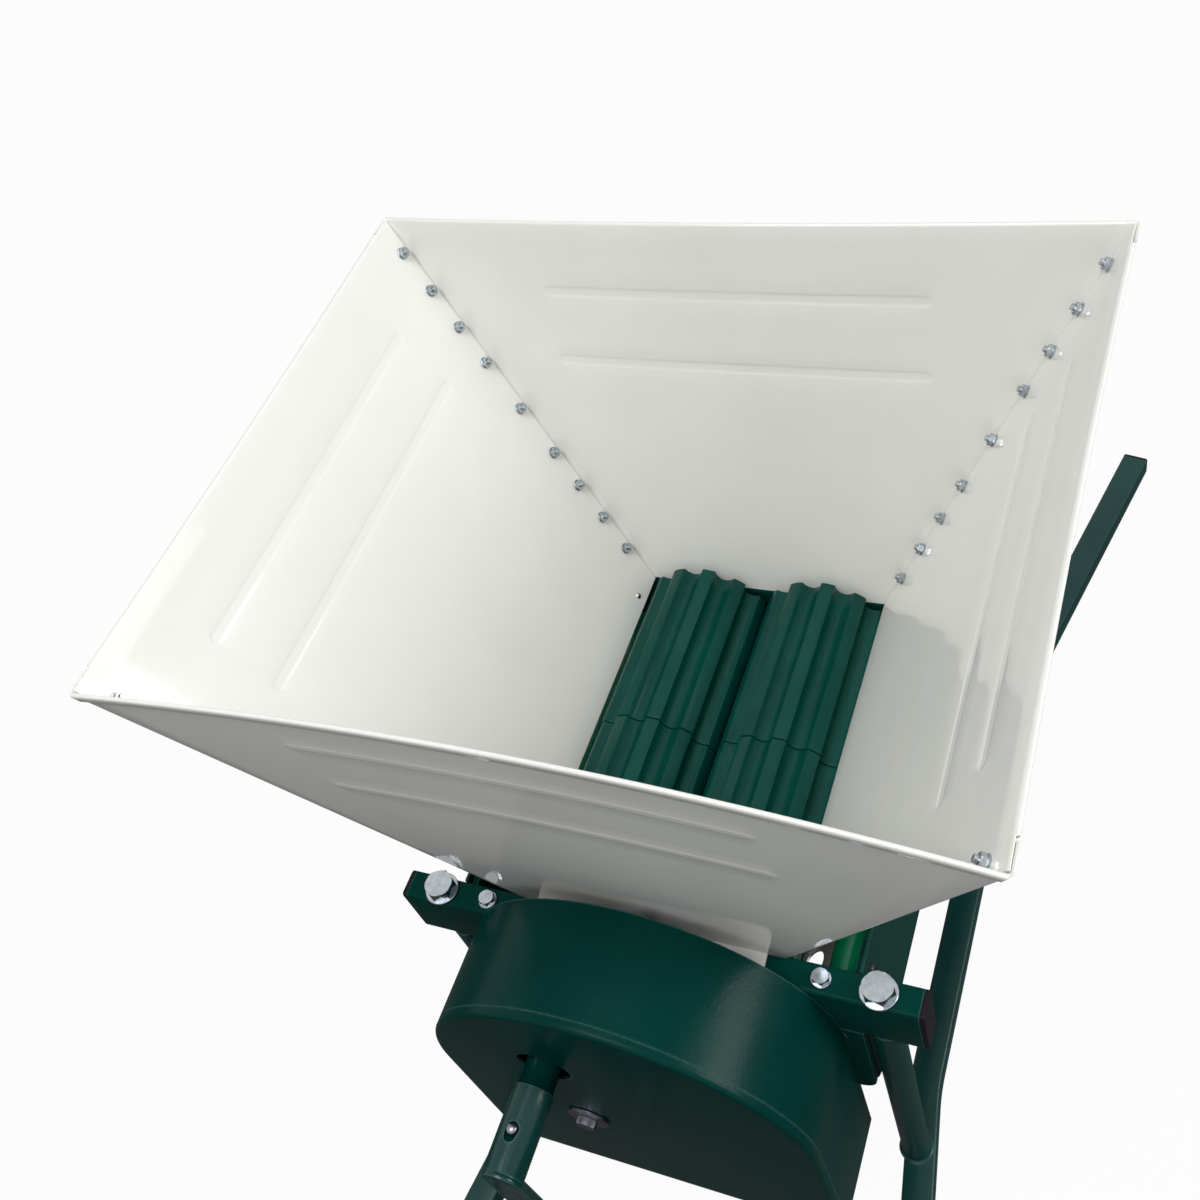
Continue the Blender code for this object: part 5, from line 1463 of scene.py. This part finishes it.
@dataclass
class GearCover:
    """The arched cover over the gears with its folded front edge, bolt and washer."""

    centre: Point = (-4 * MM, -69 * MM)
    radius: float = 132 * MM
    floor: float = -230 * MM
    corner: float = 6 * MM
    least_corner: float = 1 * MM
    corner_steps: int = 6
    back: float = -160.3 * MM
    depth: float = 80 * MM
    wall: float = 2 * MM
    arch_steps: int = 96
    edge: float = 3.4 * MM
    edge_steps: int = 6
    lap: float = 7 * MM
    lap_steps: tuple[Point, ...] = ((0.0, 0.5 * MM), (0.35 * MM, 0.2 * MM), (0.35 * MM, 0.0),
                                    (0.05 * MM, -0.3 * MM))
    overrun: float = 5 * MM
    through: Point = (-6 * MM, 12 * MM)
    smooth: float = 28.0
    crank_hole: float = 19 * MM
    bolt_hole: float = 4.3 * MM
    washer: float = 15 * MM
    washer_thickness: float = 2 * MM
    bolt: float = 4 * MM
    bolt_head: float = 7.5 * MM
    bolt_height: float = 5.3 * MM
    bolt_reach: float = 24 * MM
    bolt_spin: float = 0.35

    def outline(self, inset: float) -> Outline:
        """Return the cover's outline, drawn in by the inset."""
        radius, floor = self.radius - inset, self.floor + inset
        corner = max(self.corner - inset / 2, self.least_corner)
        points = arc(self.centre, radius, 0, HALF, self.arch_steps)
        for way, start in ((-1, HALF), (1, HALF + QUARTER)):
            points += arc((self.centre[0] + way * (radius - corner), floor + corner), corner,
                          start, start + QUARTER, self.corner_steps)
        return points

    def shell(self, inset: float, front: float, edge: float, lapped: bool) -> Mould:
        """Return one closed form of the cover's outer or inner surface.

        Args:
            inset: How far the surface lies inside the cover's outline.
            front: The station of its front face.
            edge: The radius of its front edge.
            lapped: Whether the line where the band laps the face is pressed in.

        Returns:
            The mould of the form.
        """
        levels = [(inset, self.back if lapped else self.back + self.overrun)]
        if lapped:
            levels += [(inset + depth, front + self.lap + along)
                       for depth, along in self.lap_steps]
        for step in range(self.edge_steps + 1):
            turn = QUARTER * step / self.edge_steps
            levels.append((inset + edge * (1 - math.cos(turn)),
                           front + edge - edge * math.sin(turn)))
        return Mould().stack("y", [(self.outline(level), y) for level, y in levels])

    def build(self) -> None:
        """Build the cover with its two holes, then its washer and bolt."""
        front = self.back - self.depth
        cover = self.shell(0.0, front, self.edge, True).cast("arched_cover", self.smooth)
        combine(cover, self.shell(self.wall, front + self.wall, self.edge - self.wall, False),
                "DIFFERENCE")
        ends = [front + reach for reach in self.through]
        holes = Mould().rod("y", self.crank_hole, *ends, FINE_SIDES, *LAYOUT.driven)
        holes.rod("y", self.bolt_hole, *ends, MIDDLE_SIDES, *LAYOUT.idler)
        fit(combine(cover, holes, "DIFFERENCE", self.smooth), COVER_GREEN, "gear_cover")
        washer, bolt = Mould(), Mould()
        place = facing(at("y", *LAYOUT.idler, front), Vector((0, -1, 0)))
        HARDWARE.washer(washer, place, self.washer, self.washer_thickness, self.bolt + GAP, GAP)
        fit(washer.cast("cover_wide_washer"), PLATED_STEEL_PAINTED_SHADE, "cover_washer")
        seat = Matrix.Translation((0, 0, 2 * GAP + self.washer_thickness))
        HARDWARE.bolt(bolt, place @ seat @ Matrix.Rotation(self.bolt_spin, 4, "Z"),
                      self.bolt_head, self.bolt_height, self.bolt, self.bolt_reach)
        fit(bolt.cast("cover_hex_bolt"), PLATED_STEEL_PAINTED_SHADE, "cover_bolt")


@dataclass
class Housing:
    """The destemming trough: end plate, side plates, screen, rear yoke and outlet cover."""

    edge: float = 0.35 * MM
    edge_angle: float = 50.0
    plate_half_width: float = 140.3 * MM
    plate_top: float = -50.3 * MM
    plate_bottom: float = -152 * MM
    corner: float = 15 * MM
    corner_steps: int = 8
    skirt: float = 92 * MM
    overrun: float = 5 * MM
    tube_hole: float = 11.3 * MM
    tube_cut: Point = (-170 * MM, -150 * MM)
    axle_hole: float = 6.3 * MM
    side_faces: Point = (138.3 * MM, 140.3 * MM)
    side_front: float = -156.7 * MM
    side_rear: float = 300 * MM
    side_bottom: float = -150 * MM
    notch: float = 139.7 * MM
    screw_hole: float = 2.8 * MM
    screw_gap: float = 0.05 * MM
    screw_reach: float = 9 * MM
    screw_nut: Triple = (4.4 * MM, 3.4 * MM, 2.45 * MM)
    lug_screws: tuple[Point, ...] = ((-127 * MM, -25 * MM), (127 * MM, -25 * MM))
    flange_screws: tuple[Point, ...] = ((60.5 * MM, -110.5 * MM), (205.5 * MM, -110.5 * MM))
    yoke_screw: Point = (289 * MM, -85 * MM)
    cover_screw: Point = (220.3 * MM, -59.3 * MM)
    screen_radius: float = 85 * MM
    screen_sheet: float = 2 * MM
    screen_flange: float = 22 * MM
    screen_rear: float = 278 * MM
    screen_rows: int = 5
    screen_columns: int = 10
    screen_hole: float = 10.5 * MM
    screen_steps: int = 54
    row_step: float = math.radians(20)
    yoke: Point = (284 * MM, 294 * MM)
    yoke_top: float = -60 * MM
    yoke_wing: float = -110 * MM
    yoke_arm: float = 38 * MM
    yoke_foot: Point = (20 * MM, 22 * MM)
    yoke_edge: float = 0.9 * MM
    yoke_edge_angle: float = 25.0
    outlet: Point = (160.3 * MM, 280.3 * MM)
    outlet_lip: float = 18 * MM
    outlet_sheet: float = 1.5 * MM
    outlet_bend: float = 3 * MM
    outlet_steps: int = 5

    @property
    def outer(self) -> float:
        """Return the half width of what lies between the side plates."""
        return self.side_faces[0] - GAP

    @property
    def screws(self) -> list[tuple[Point, float]]:
        """Return each screw's (y, z) place and the sheet under it, zero where it is thick."""
        return [*((place, 0.0) for place in self.lug_screws),
                *((place, self.screen_sheet) for place in self.flange_screws),
                (self.yoke_screw, 0.0), (self.cover_screw, self.outlet_sheet)]

    def build(self) -> None:
        """Build the sheets, the yoke, the beater's bushes and the screws."""
        self.build_end_plate()
        for side in Side:
            self.build_side_plate(side)
            self.build_screws(side)
        self.build_screen()
        self.build_yoke()
        self.build_outlet_cover()
        BUSH.build("front_beater_flanged_bush", "front_beater_bush", LAYOUT.end_plate[0],
                   LAYOUT.end_plate[1] + GAP, LAYOUT.beater, eased=False)
        BUSH.build("rear_beater_flanged_bush", "rear_beater_bush", self.yoke[1],
                   self.yoke[0] - GAP, LAYOUT.beater, eased=False)

    def add_bores(self, mould: Mould, depth: float, places: Iterable[Point]) -> None:
        """Add the bores of screws that enter a piece between the side plates from both sides."""
        for side in Side:
            ends = sorted((side.value * (self.outer - depth),
                           side.value * (self.outer + self.overrun)))
            for place in places:
                mould.rod("x", self.screw_hole, *ends, SMALL_SIDES, *place)

    def build_end_plate(self) -> None:
        """Build the plate that closes the trough behind the gears."""
        half, corner, low = self.plate_half_width, self.corner, self.plate_bottom
        join = math.asin((low - LAYOUT.beater[1]) / self.skirt)
        outline = [(-half, self.plate_top)]
        outline += arc((-half + corner, low + corner), corner, HALF, HALF + QUARTER,
                       self.corner_steps)
        outline += arc(LAYOUT.beater, self.skirt, HALF - join, FULL + join, LARGE_SIDES)
        outline += arc((half - corner, low + corner), corner, HALF + QUARTER, FULL,
                       self.corner_steps)
        outline.append((half, self.plate_top))
        holes = [circle(LAYOUT.bush_hole, LARGE_SIDES, *LAYOUT.beater),
                 circle(self.axle_hole, MIDDLE_SIDES, *LAYOUT.idler)]
        plate = Mould().plate("y", *LAYOUT.end_plate, outline, holes).cast("trough_end_plate")
        cuts = Mould()
        for side in Side:
            cuts.rod("y", self.tube_hole, *self.tube_cut, LARGE_SIDES,
                     side.value * LAYOUT.tube[0], LAYOUT.tube[1])
        fit(soften(combine(plate, cuts, "DIFFERENCE"), self.edge, self.edge_angle),
            DARK_GREEN, "front_end_plate")

    def build_side_plate(self, side: Side) -> None:
        """Build one side plate, notched under both bars."""
        front, rear, low = self.side_front, self.side_rear, self.side_bottom
        corner, under, top = self.corner, self.plate_top, -GAP
        outline = [(front, under), (-self.notch, under), (-self.notch, top),
                   (self.notch, top), (self.notch, under), (rear, under)]
        outline += arc((rear - corner, low + corner), corner, 0, -QUARTER, self.corner_steps)
        outline += arc((front + corner, low + corner), corner, HALF + QUARTER, HALF,
                       self.corner_steps)
        holes = [circle(self.screw_hole, SMALL_SIDES, *place) for place, _ in self.screws]
        mould = Mould().plate("x", *(side.value * x for x in self.side_faces), outline, holes)
        fit(soften(mould.cast(f"{side.word}_trough_side"), self.edge, self.edge_angle),
            DARK_GREEN, f"{side.word}_side_plate")

    def build_screws(self, side: Side) -> None:
        """Build the screws of one side plate and the nuts on those that pass thin sheet."""
        screws, nuts = Mould(), Mould()
        outward = Vector((side.value, 0, 0))
        radius, height, bore = self.screw_nut
        for (y, z), sheet in self.screws:
            seat = self.side_faces[1] + self.screw_gap
            HARDWARE.screw(screws, Vector((side.value * seat, y, z)), outward, self.screw_reach)
            if sheet:
                back = Vector((side.value * (self.outer - sheet - self.screw_gap), y, z))
                HARDWARE.nut(nuts, facing(back, outward), radius, height, bore, -height)
        fit(screws.cast(f"{side.word}_trough_screws"), BLACK_STEEL)
        fit(nuts.cast(f"{side.word}_trough_nuts"), ZINC)

    def build_screen(self) -> None:
        """Build the perforated half-round screen with its sloping shoulders."""
        outer, centre, z = self.outer, LAYOUT.beater, LAYOUT.beater[1]
        inner, reach = outer - self.screen_sheet, self.screen_radius + self.screen_sheet
        shoulder = z + inner - self.screen_radius
        top, lean = shoulder + self.screen_flange, self.screen_sheet * (math.sqrt(2) - 1)
        outline = [(inner, top), (inner, shoulder)]
        outline += arc(centre, self.screen_radius, 0, -HALF, self.screen_steps)
        outline += [(-inner, shoulder), (-inner, top), (-outer, top), (-outer, shoulder - lean)]
        outline += arc(centre, reach, -HALF, 0, self.screen_steps)
        outline += [(outer, shoulder - lean), (outer, top)]
        screen = Mould().plate("y", self.side_front, self.screen_rear, outline)
        screen = screen.cast("perforated_trough", FLAT_ANGLE)
        cuts, span = Mould(), self.screen_rear - self.side_front
        for column in range(self.screen_columns):
            y = self.side_front + span * (column + 0.5) / self.screen_columns
            for row in range(self.screen_rows):
                if column == 0 and row in (0, self.screen_rows - 1):
                    continue
                angle, first = (row - (self.screen_rows - 1) / 2) * self.row_step, cuts.count()
                cuts.rod("z", self.screen_hole, -reach - self.overrun,
                         self.overrun - self.screen_radius, MIDDLE_SIDES, 0.0, y)
                cuts.move(Matrix.Translation((0, 0, z)) @ Matrix.Rotation(angle, 4, "Y"), first)
        self.add_bores(cuts, self.screen_sheet + self.overrun, self.flange_screws)
        fit(combine(screen, cuts, "DIFFERENCE", FLAT_ANGLE), STAINLESS, "destemming_screen")

    def build_yoke(self) -> None:
        """Build the yoke that holds the beater's rear bush."""
        outer, top, wing, z = self.outer, self.yoke_top, self.yoke_wing, LAYOUT.beater[1]
        inner, (foot, rise) = outer - self.yoke_arm, self.yoke_foot
        fork = wing + self.yoke_arm / 2
        outline = [(-outer, top), (-outer, wing), (-foot, z - rise), (foot, z - rise),
                   (outer, wing), (outer, top), (inner, top), (inner, fork), (foot, z + rise),
                   (-foot, z + rise), (-inner, fork), (-inner, top)]
        hole = circle(LAYOUT.bush_hole, LARGE_SIDES, *LAYOUT.beater)
        yoke, cuts = Mould().plate("y", *self.yoke, outline, [hole]).cast("rear_yoke"), Mould()
        self.add_bores(cuts, self.screw_reach, [self.yoke_screw])
        fit(soften(combine(yoke, cuts, "DIFFERENCE"), self.yoke_edge, self.yoke_edge_angle, 3),
            DARK_GREEN, "rear_bearing_yoke")

    def build_outlet_cover(self) -> None:
        """Build the folded cover over the trough behind the rear bar."""
        outer, sheet, bend, top = (self.outer, self.outlet_sheet, self.outlet_bend,
                                   self.plate_top)
        low, left, right = (top - self.outlet_lip, (-outer + bend, top - bend),
                            (outer - bend, top - bend))
        outline = [(-outer, low), (-outer + sheet, low)]
        outline += arc(left, bend - sheet, HALF, QUARTER, self.outlet_steps)
        outline += arc(right, bend - sheet, QUARTER, 0, self.outlet_steps)
        outline += [(outer - sheet, low), (outer, low)]
        outline += arc(right, bend, 0, QUARTER, self.outlet_steps)
        outline += arc(left, bend, QUARTER, HALF, self.outlet_steps)
        cover, cuts = Mould().plate("y", *self.outlet, outline), Mould()
        self.add_bores(cuts, self.overrun, [self.cover_screw])
        cover = cover.cast("outlet_top_cover", FLAT_ANGLE)
        fit(combine(cover, cuts, "DIFFERENCE", FLAT_ANGLE), DARK_GREEN, "stem_outlet_cover")


@dataclass
class Beater:
    """The shaft in the trough with its turned paddles."""

    ends: Point = (-192 * MM, 300 * MM)
    shaft_edge: float = 1 * MM
    paddles: int = 12
    tip: float = 78 * MM
    width: float = 24 * MM
    thickness: float = 6 * MM
    corner_share: float = 0.6
    tip_steps: int = 10
    paddle_span: Point = (-124 * MM, 262 * MM)
    phase: float = math.radians(30)
    step: float = math.radians(75)
    edge: float = 0.5 * MM
    edge_angle: float = 60.0

    def build(self) -> None:
        """Build the shaft and its paddles about the shaft's axis."""
        profile = shaft_profile(LAYOUT.shaft, *self.ends, self.shaft_edge)
        shaft = Mould().turn("y", profile, ROUND_SIDES)
        shaft = shaft.cast("beater_shaft_and_paddles", FLAT_ANGLE)
        half, foot = self.width / 2, LAYOUT.shaft / 2
        corner, (first, last) = half * self.corner_share, self.paddle_span
        outline = [(-half, foot), (half, foot)]
        outline += arc((half - corner, self.tip - corner), corner, 0, QUARTER, self.tip_steps)
        outline += arc((corner - half, self.tip - corner), corner, QUARTER, HALF, self.tip_steps)
        paddles = Mould()
        for index in range(self.paddles):
            y = first + (last - first) * index / (self.paddles - 1)
            start = paddles.count()
            paddles.plate("x", -self.thickness / 2, self.thickness / 2,
                          [(y + u, v) for u, v in outline])
            paddles.move(Matrix.Rotation(self.phase + index * self.step, 4, "Y"), start)
        combine(shaft, paddles, "UNION")
        fit(shift(soften(shaft, self.edge, self.edge_angle), LAYOUT.beater), STAINLESS,
            "beater", Body.BEATER)


@dataclass
class Crank:
    """The crank: socket, arm, spindle, turning grip, snap button and its leaf spring."""

    socket_radius: float = 13.45 * MM
    socket: Point = (-314.5 * MM, -256 * MM)
    edge: float = 0.8 * MM
    groove: float = 0.35 * MM
    groove_share: float = 0.6
    joint: float = -310.6 * MM
    bar: Point = (-314.4 * MM, -308.3 * MM)
    bar_inset: float = 0.2 * MM
    bar_edge_angle: float = 50.0
    boss_sink: float = 1 * MM
    arm: Point = (-326 * MM, -308 * MM)
    overrun: float = 5 * MM
    throw: float = 220 * MM
    spindle: float = 6 * MM
    spindle_head: float = 11 * MM
    spindle_head_thickness: float = 4 * MM
    spindle_rear: float = -299 * MM
    spindle_edge: float = 0.3 * MM
    grip: Point = (-436.3 * MM, -326.3 * MM)
    grip_radii: tuple[Point, ...] = ((0.0, 11.8 * MM), (0.008, 13 * MM), (0.03, 14 * MM),
                                     (0.06, 14 * MM), (0.12, 15.2 * MM), (0.2, 15.7 * MM),
                                     (0.32, 16 * MM))
    grip_middle: float = 15.6 * MM
    grip_smooth: float = 50.0
    nut_radius: float = 9.5 * MM
    nut_height: float = 8 * MM
    button: float = 3.8 * MM
    button_hole: float = 4.6 * MM
    slot: float = 4.5 * MM
    slot_taper: float = 0.8 * MM
    slot_steps: int = 16
    button_flange: float = 4.7 * MM
    flange_levels: Point = (3 * MM, 4.4 * MM)
    dome: float = 2.4 * MM
    dome_steps: int = 6
    spring_half_width: float = 2.8 * MM
    spring_leaf: float = 0.7 * MM
    spring_ys: Point = (-290 * MM, -250 * MM)
    spring_tip: float = 2.6 * MM
    spring_foot: float = -6 * MM
    spring_apex: float = -1.5 * MM
    spring_fold: float = 2.4 * MM
    spring_turn: float = QUARTER - 0.1
    spring_steps: int = 12
    spring_keep: float = 0.33
    sleeve_radius: float = 12 * MM
    sleeve_rear: float = -236 * MM
    sleeve_edge: float = 0.5 * MM
    rear_edge: float = 0.4 * MM
    small_edge: float = 0.3

    def place(self, mould: Mould, name: str, smooth: float = 35.0) -> Piece:
        """Cast a mould that was built about the crank's axis, and set it on that axis."""
        return shift(mould.cast(name, smooth), LAYOUT.driven)

    def build(self) -> None:
        """Build every piece of the crank."""
        self.build_handle()
        self.build_spindle()
        self.build_grip()
        self.build_button()
        self.build_spring()

    def socket_profile(self) -> list[Point]:
        """Return the profile of the socket, of its sleeve and of its joint with the bar."""
        (front, rear), radius, bore = self.socket, self.socket_radius, LAYOUT.shaft_bore
        back, edge, groove = self.sleeve_rear, self.edge, self.groove
        narrow, small = groove * self.groove_share, edge * self.small_edge
        return [(bore, back), (self.sleeve_radius - self.sleeve_edge, back),
                (self.sleeve_radius, back - self.sleeve_edge), (self.sleeve_radius, rear),
                (radius - self.rear_edge, rear), (radius, rear - self.rear_edge),
                (radius, self.joint + groove), (radius - groove, self.joint + narrow),
                (radius - groove, self.joint - narrow), (radius, self.joint - groove),
                (radius, front + edge), (radius - small, front + small), (radius - edge, front),
                (0.0, front), (0.0, self.bar[1]), (bore, self.bar[1])]

    def build_handle(self) -> None:
        """Build the socket, the flat bar at its front and the boss at the bar's end."""
        handle = Mould().turn("y", self.socket_profile(), FINE_SIDES)
        handle = handle.cast("crank_arm_and_socket", FLAT_ANGLE)
        slim, edge, front = self.socket_radius - self.bar_inset, self.edge, self.arm[0]
        outline = arc((0.0, 0.0), slim, 0.0, HALF, SMALL_SIDES)
        outline += arc((0.0, -self.throw), slim, HALF, FULL, SMALL_SIDES)
        bar = Mould().plate("y", *self.bar, outline).cast("arm_bar")
        combine(handle, soften(bar, edge, self.bar_edge_angle, 3), "UNION")
        root = self.bar[0] + self.boss_sink
        boss = [(self.spindle, root), (self.spindle, front), (slim - edge, front),
                (slim, front + edge), (slim, root)]
        combine(handle, Mould().turn("y", boss, FINE_SIDES, 0.0, -self.throw), "UNION")
        holes = Mould().rod("y", self.spindle + GAP, front - self.overrun,
                            self.arm[1] + self.overrun, LARGE_SIDES, 0.0, -self.throw)
        slot = arc((0.0, LAYOUT.button_y), self.button_hole, 0.0, HALF, self.slot_steps)
        slot += arc((0.0, LAYOUT.button_y - self.slot), self.button_hole - self.slot_taper,
                    HALF, FULL, self.slot_steps)
        holes.plate("z", 0.0, 2 * self.socket_radius, slot)
        combine(handle, holes, "DIFFERENCE", FLAT_ANGLE)
        fit(shift(handle, LAYOUT.driven), CRANK_GREEN, "crank_handle", Body.LEFT_ROLLER)

    def build_spindle(self) -> None:
        """Build the grip's spindle with its round head, and the nut behind the arm."""
        head, tail, edge, wide = (self.grip[0] - GAP, self.spindle_rear, self.edge,
                                  self.spindle_head)
        front, small = head - self.spindle_head_thickness, self.spindle_edge
        profile = [(0.0, front), (wide - edge, front), (wide, front + edge),
                   (wide, head - small), (wide - small, head), (self.spindle, head),
                   (self.spindle, tail - edge), (self.spindle - edge, tail), (0.0, tail)]
        mould = Mould().turn("y", profile, ROUND_SIDES, 0.0, -self.throw)
        fit(self.place(mould, "grip_bolt"), ZINC, "grip_spindle", Body.LEFT_ROLLER)
        nut, seat = Mould(), Vector((0, self.arm[1] + GAP, -self.throw))
        HARDWARE.nut(nut, facing(seat, Vector((0, 1, 0))), self.nut_radius, self.nut_height,
                     self.spindle + GAP / 2, 0.0)
        fit(self.place(nut, "grip_lock_nut"), ZINC, "grip_nut", Body.LEFT_ROLLER)

    def build_grip(self) -> None:
        """Build the moulded grip: a long swell between two rounded collars."""
        (front, rear), bore = self.grip, self.spindle + GAP
        half = [*self.grip_radii, (0.5, self.grip_middle)]
        swell = half + [(1 - share, radius) for share, radius in self.grip_radii[::-1]]
        profile = [(bore, rear), *((radius, rear - share * (rear - front))
                                   for share, radius in swell), (bore, front)]
        mould = Mould().turn("y", profile, ROUND_SIDES, 0.0, -self.throw)
        fit(self.place(mould, "turning_grip", self.grip_smooth), BLACK_PLASTIC, "crank_grip",
            Body.GRIP)

    def build_button(self) -> None:
        """Build the snap button with its domed head."""
        (low, high), shoulder, radius = self.flange_levels, self.socket_radius, self.button
        profile = [(0.0, low), (self.button_flange, low), (self.button_flange, high),
                   (radius, high), (radius, shoulder)]
        for step in range(1, self.dome_steps):
            turn = QUARTER * step / self.dome_steps
            profile.append((radius * math.cos(turn), shoulder + self.dome * math.sin(turn)))
        profile.append((0.0, shoulder + self.dome))
        mould = Mould().turn("z", profile, LARGE_SIDES, 0.0, LAYOUT.button_y)
        fit(self.place(mould, "snap_button_dome"), PLATED_STEEL_PAINTED_SHADE, "snap_button", Body.BUTTON)

    def build_spring(self) -> None:
        """Build the bent leaf spring under the button, its bend drawn round."""
        (front, rear), leaf, fold, turn = (self.spring_ys, self.spring_leaf, self.spring_fold,
                                           self.spring_turn)
        tip, foot, centre = self.spring_tip, self.spring_foot, (rear - fold, self.spring_apex)
        outline = [(front, tip), *arc(centre, fold, turn, -turn, self.spring_steps),
                   (front, foot), (front, foot + leaf),
                   *arc(centre, fold - leaf, -turn, turn, self.spring_steps),
                   (front, tip - leaf)]
        half = self.spring_half_width
        spring = self.place(Mould().plate("x", -half, half, outline), "button_leaf_spring")
        fit(spring, MACHINED, "button_spring", Body.LEFT_ROLLER)
        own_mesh(spring)


@dataclass(frozen=True)
class Lamp:
    """One large soft studio lamp."""

    name: str
    place: Triple
    aim: Triple
    width: float
    height: float
    power: float

    def build(self) -> None:
        """Build the lamp and turn it towards its aim."""
        light = bpy.data.lights.new(self.name, "AREA")
        light.shape = "RECTANGLE"
        light.size, light.size_y, light.energy = self.width, self.height, self.power
        lamp = bpy.data.objects.new(self.name, light)
        lamp.location = self.place
        run = Vector(self.aim) - Vector(self.place)
        lamp.rotation_euler = run.to_track_quat("-Z", "Y").to_euler()
        bpy.context.scene.collection.objects.link(lamp)


@dataclass
class Studio:
    """The plain studio: camera, lamps, a pale floor and a white surround."""

    camera_place: Triple = (0.2985, -0.5199, 1.1169)
    camera_right: Triple = (0.90824, 0.33424, -0.25177)
    camera_down: Triple = (0.11733, -0.78094, -0.61348)
    lens: float = 40.352
    sensor: float = 36.0
    floor_radius: float = 14.0
    floor_sides: int = 96
    floor_drop: float = 0.5 * MM
    seen_share: float = 0.96
    mirrored_floor: float = 0.08
    floor_colour: float = 0.6
    surround: float = 0.3
    lamps: tuple[Lamp, ...] = (
        Lamp("side_lamp", (1.8, 0.45, 1.7), (0.0, -0.1, 0.4), 0.9, 1.3, 8.0),
        Lamp("low_lamp", (1.95, 0.2, 1.2), (0.1, -0.4, 0.4), 0.6, 0.8, 16.0),
        Lamp("top_lamp", (-0.15, -0.75, 2.55), (0.0, -0.07, 0.45), 1.3, 1.3, 34.0),
    )

    def build(self) -> None:
        """Build the whole studio."""
        self.build_camera()
        self.build_floor()
        self.build_world()
        for lamp in self.lamps:
            lamp.build()
        bpy.context.scene.view_settings.view_transform = "Standard"

    def build_camera(self) -> None:
        """Build the camera at the photograph's viewing angle."""
        right, down = Vector(self.camera_right).normalized(), Vector(self.camera_down)
        down = (down - right * down.dot(right)).normalized()
        axes = Matrix((right, -down, right.cross(-down))).transposed()
        data = bpy.data.cameras.new("camera")
        data.lens, data.sensor_width, data.sensor_fit = self.lens, self.sensor, "AUTO"
        camera = bpy.data.objects.new("camera", data)
        camera.matrix_world = Matrix.Translation(self.camera_place) @ axes.to_4x4()
        bpy.context.scene.collection.objects.link(camera)
        bpy.context.scene.camera = camera

    @staticmethod
    def by_ray(tree: bpy.types.NodeTree, seen: float, mirrored: float) -> bpy.types.NodeSocket:
        """Add nodes that give one value for rays that see the surroundings, another in mirrors.

        Args:
            tree: The node tree that gets them.
            seen: The value for camera rays.
            mirrored: The value for glossy and transmission rays.

        Returns:
            A socket that holds the value, zero for the rays that light the object.
        """
        path = add_node(tree, "LightPath")
        scaled = [add_node(tree, "Math", {0: path.outputs[name], 1: share},
                           operation="MULTIPLY").outputs["Value"]
                  for name, share in (("Is Camera Ray", seen), ("Is Glossy Ray", mirrored),
                                      ("Is Transmission Ray", mirrored))]
        total = scaled[0]
        for other in scaled[1:]:
            total = add_node(tree, "Math", {0: total, 1: other},
                             operation="MAXIMUM").outputs["Value"]
        return total

    def build_floor(self) -> None:
        """Build the pale floor, whitened for the camera but still taking the shadow."""
        shape = bmesh.new()
        shape.faces.new([shape.verts.new((u, v, -self.floor_drop))
                         for u, v in circle(self.floor_radius, self.floor_sides)])
        mesh = bpy.data.meshes.new("studio_floor")
        shape.to_mesh(mesh)
        shape.free()
        floor = bpy.data.objects.new("studio_floor", mesh)
        bpy.context.scene.collection.objects.link(floor)
        material = bpy.data.materials.new("pale_floor")
        material.use_nodes = True
        tree = material.node_tree
        tree.nodes.clear()
        diffuse = add_node(tree, "BsdfDiffuse", {"Color": (*[self.floor_colour] * 3, 1.0)})
        white = add_node(tree, "Emission",
                         {"Strength": self.by_ray(tree, 1.0, self.mirrored_floor)})
        mix = add_node(tree, "MixShader", {"Fac": self.by_ray(tree, self.seen_share, 1.0),
                                           1: diffuse.outputs["BSDF"],
                                           2: white.outputs["Emission"]})
        add_node(tree, "OutputMaterial", {"Surface": mix.outputs["Shader"]})
        mesh.materials.append(material)
        floor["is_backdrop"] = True

    def build_world(self) -> None:
        """Build the surround: soft light for the object, plain white where it is seen."""
        world = bpy.data.worlds.new("studio")
        world.use_nodes = True
        tree = world.node_tree
        tree.nodes.clear()
        light = add_node(tree, "Background", {"Strength": self.surround})
        white = add_node(tree, "Background", {"Color": (1.0, 1.0, 1.0, 1.0)})
        mix = add_node(tree, "MixShader", {"Fac": self.by_ray(tree, 1.0, 1.0),
                                           1: light.outputs["Background"],
                                           2: white.outputs["Background"]})
        add_node(tree, "OutputWorld", {"Surface": mix.outputs["Shader"]})
        bpy.context.scene.world = world


def corners() -> list[list[float]]:
    """Return the lowest and the highest corner of the object's box as plain numbers."""
    return [[float(value) for value in corner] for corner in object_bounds()]


def main() -> None:
    """Build the studio and every sub-assembly; each piece logs its count of faces."""
    logging.basicConfig(level=logging.INFO, format="%(message)s")
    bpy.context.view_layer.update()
    hopper = Hopper()
    for assembly in (Studio(), hopper, HopperFasteners(hopper), CrossBars(), BarBolts(), Stand(),
                     SideTubes(), Rollers(), Gears(), GearCover(), Housing(), Beater(), Crank()):
        assembly.build()


if __name__ == "__main__":
    main()
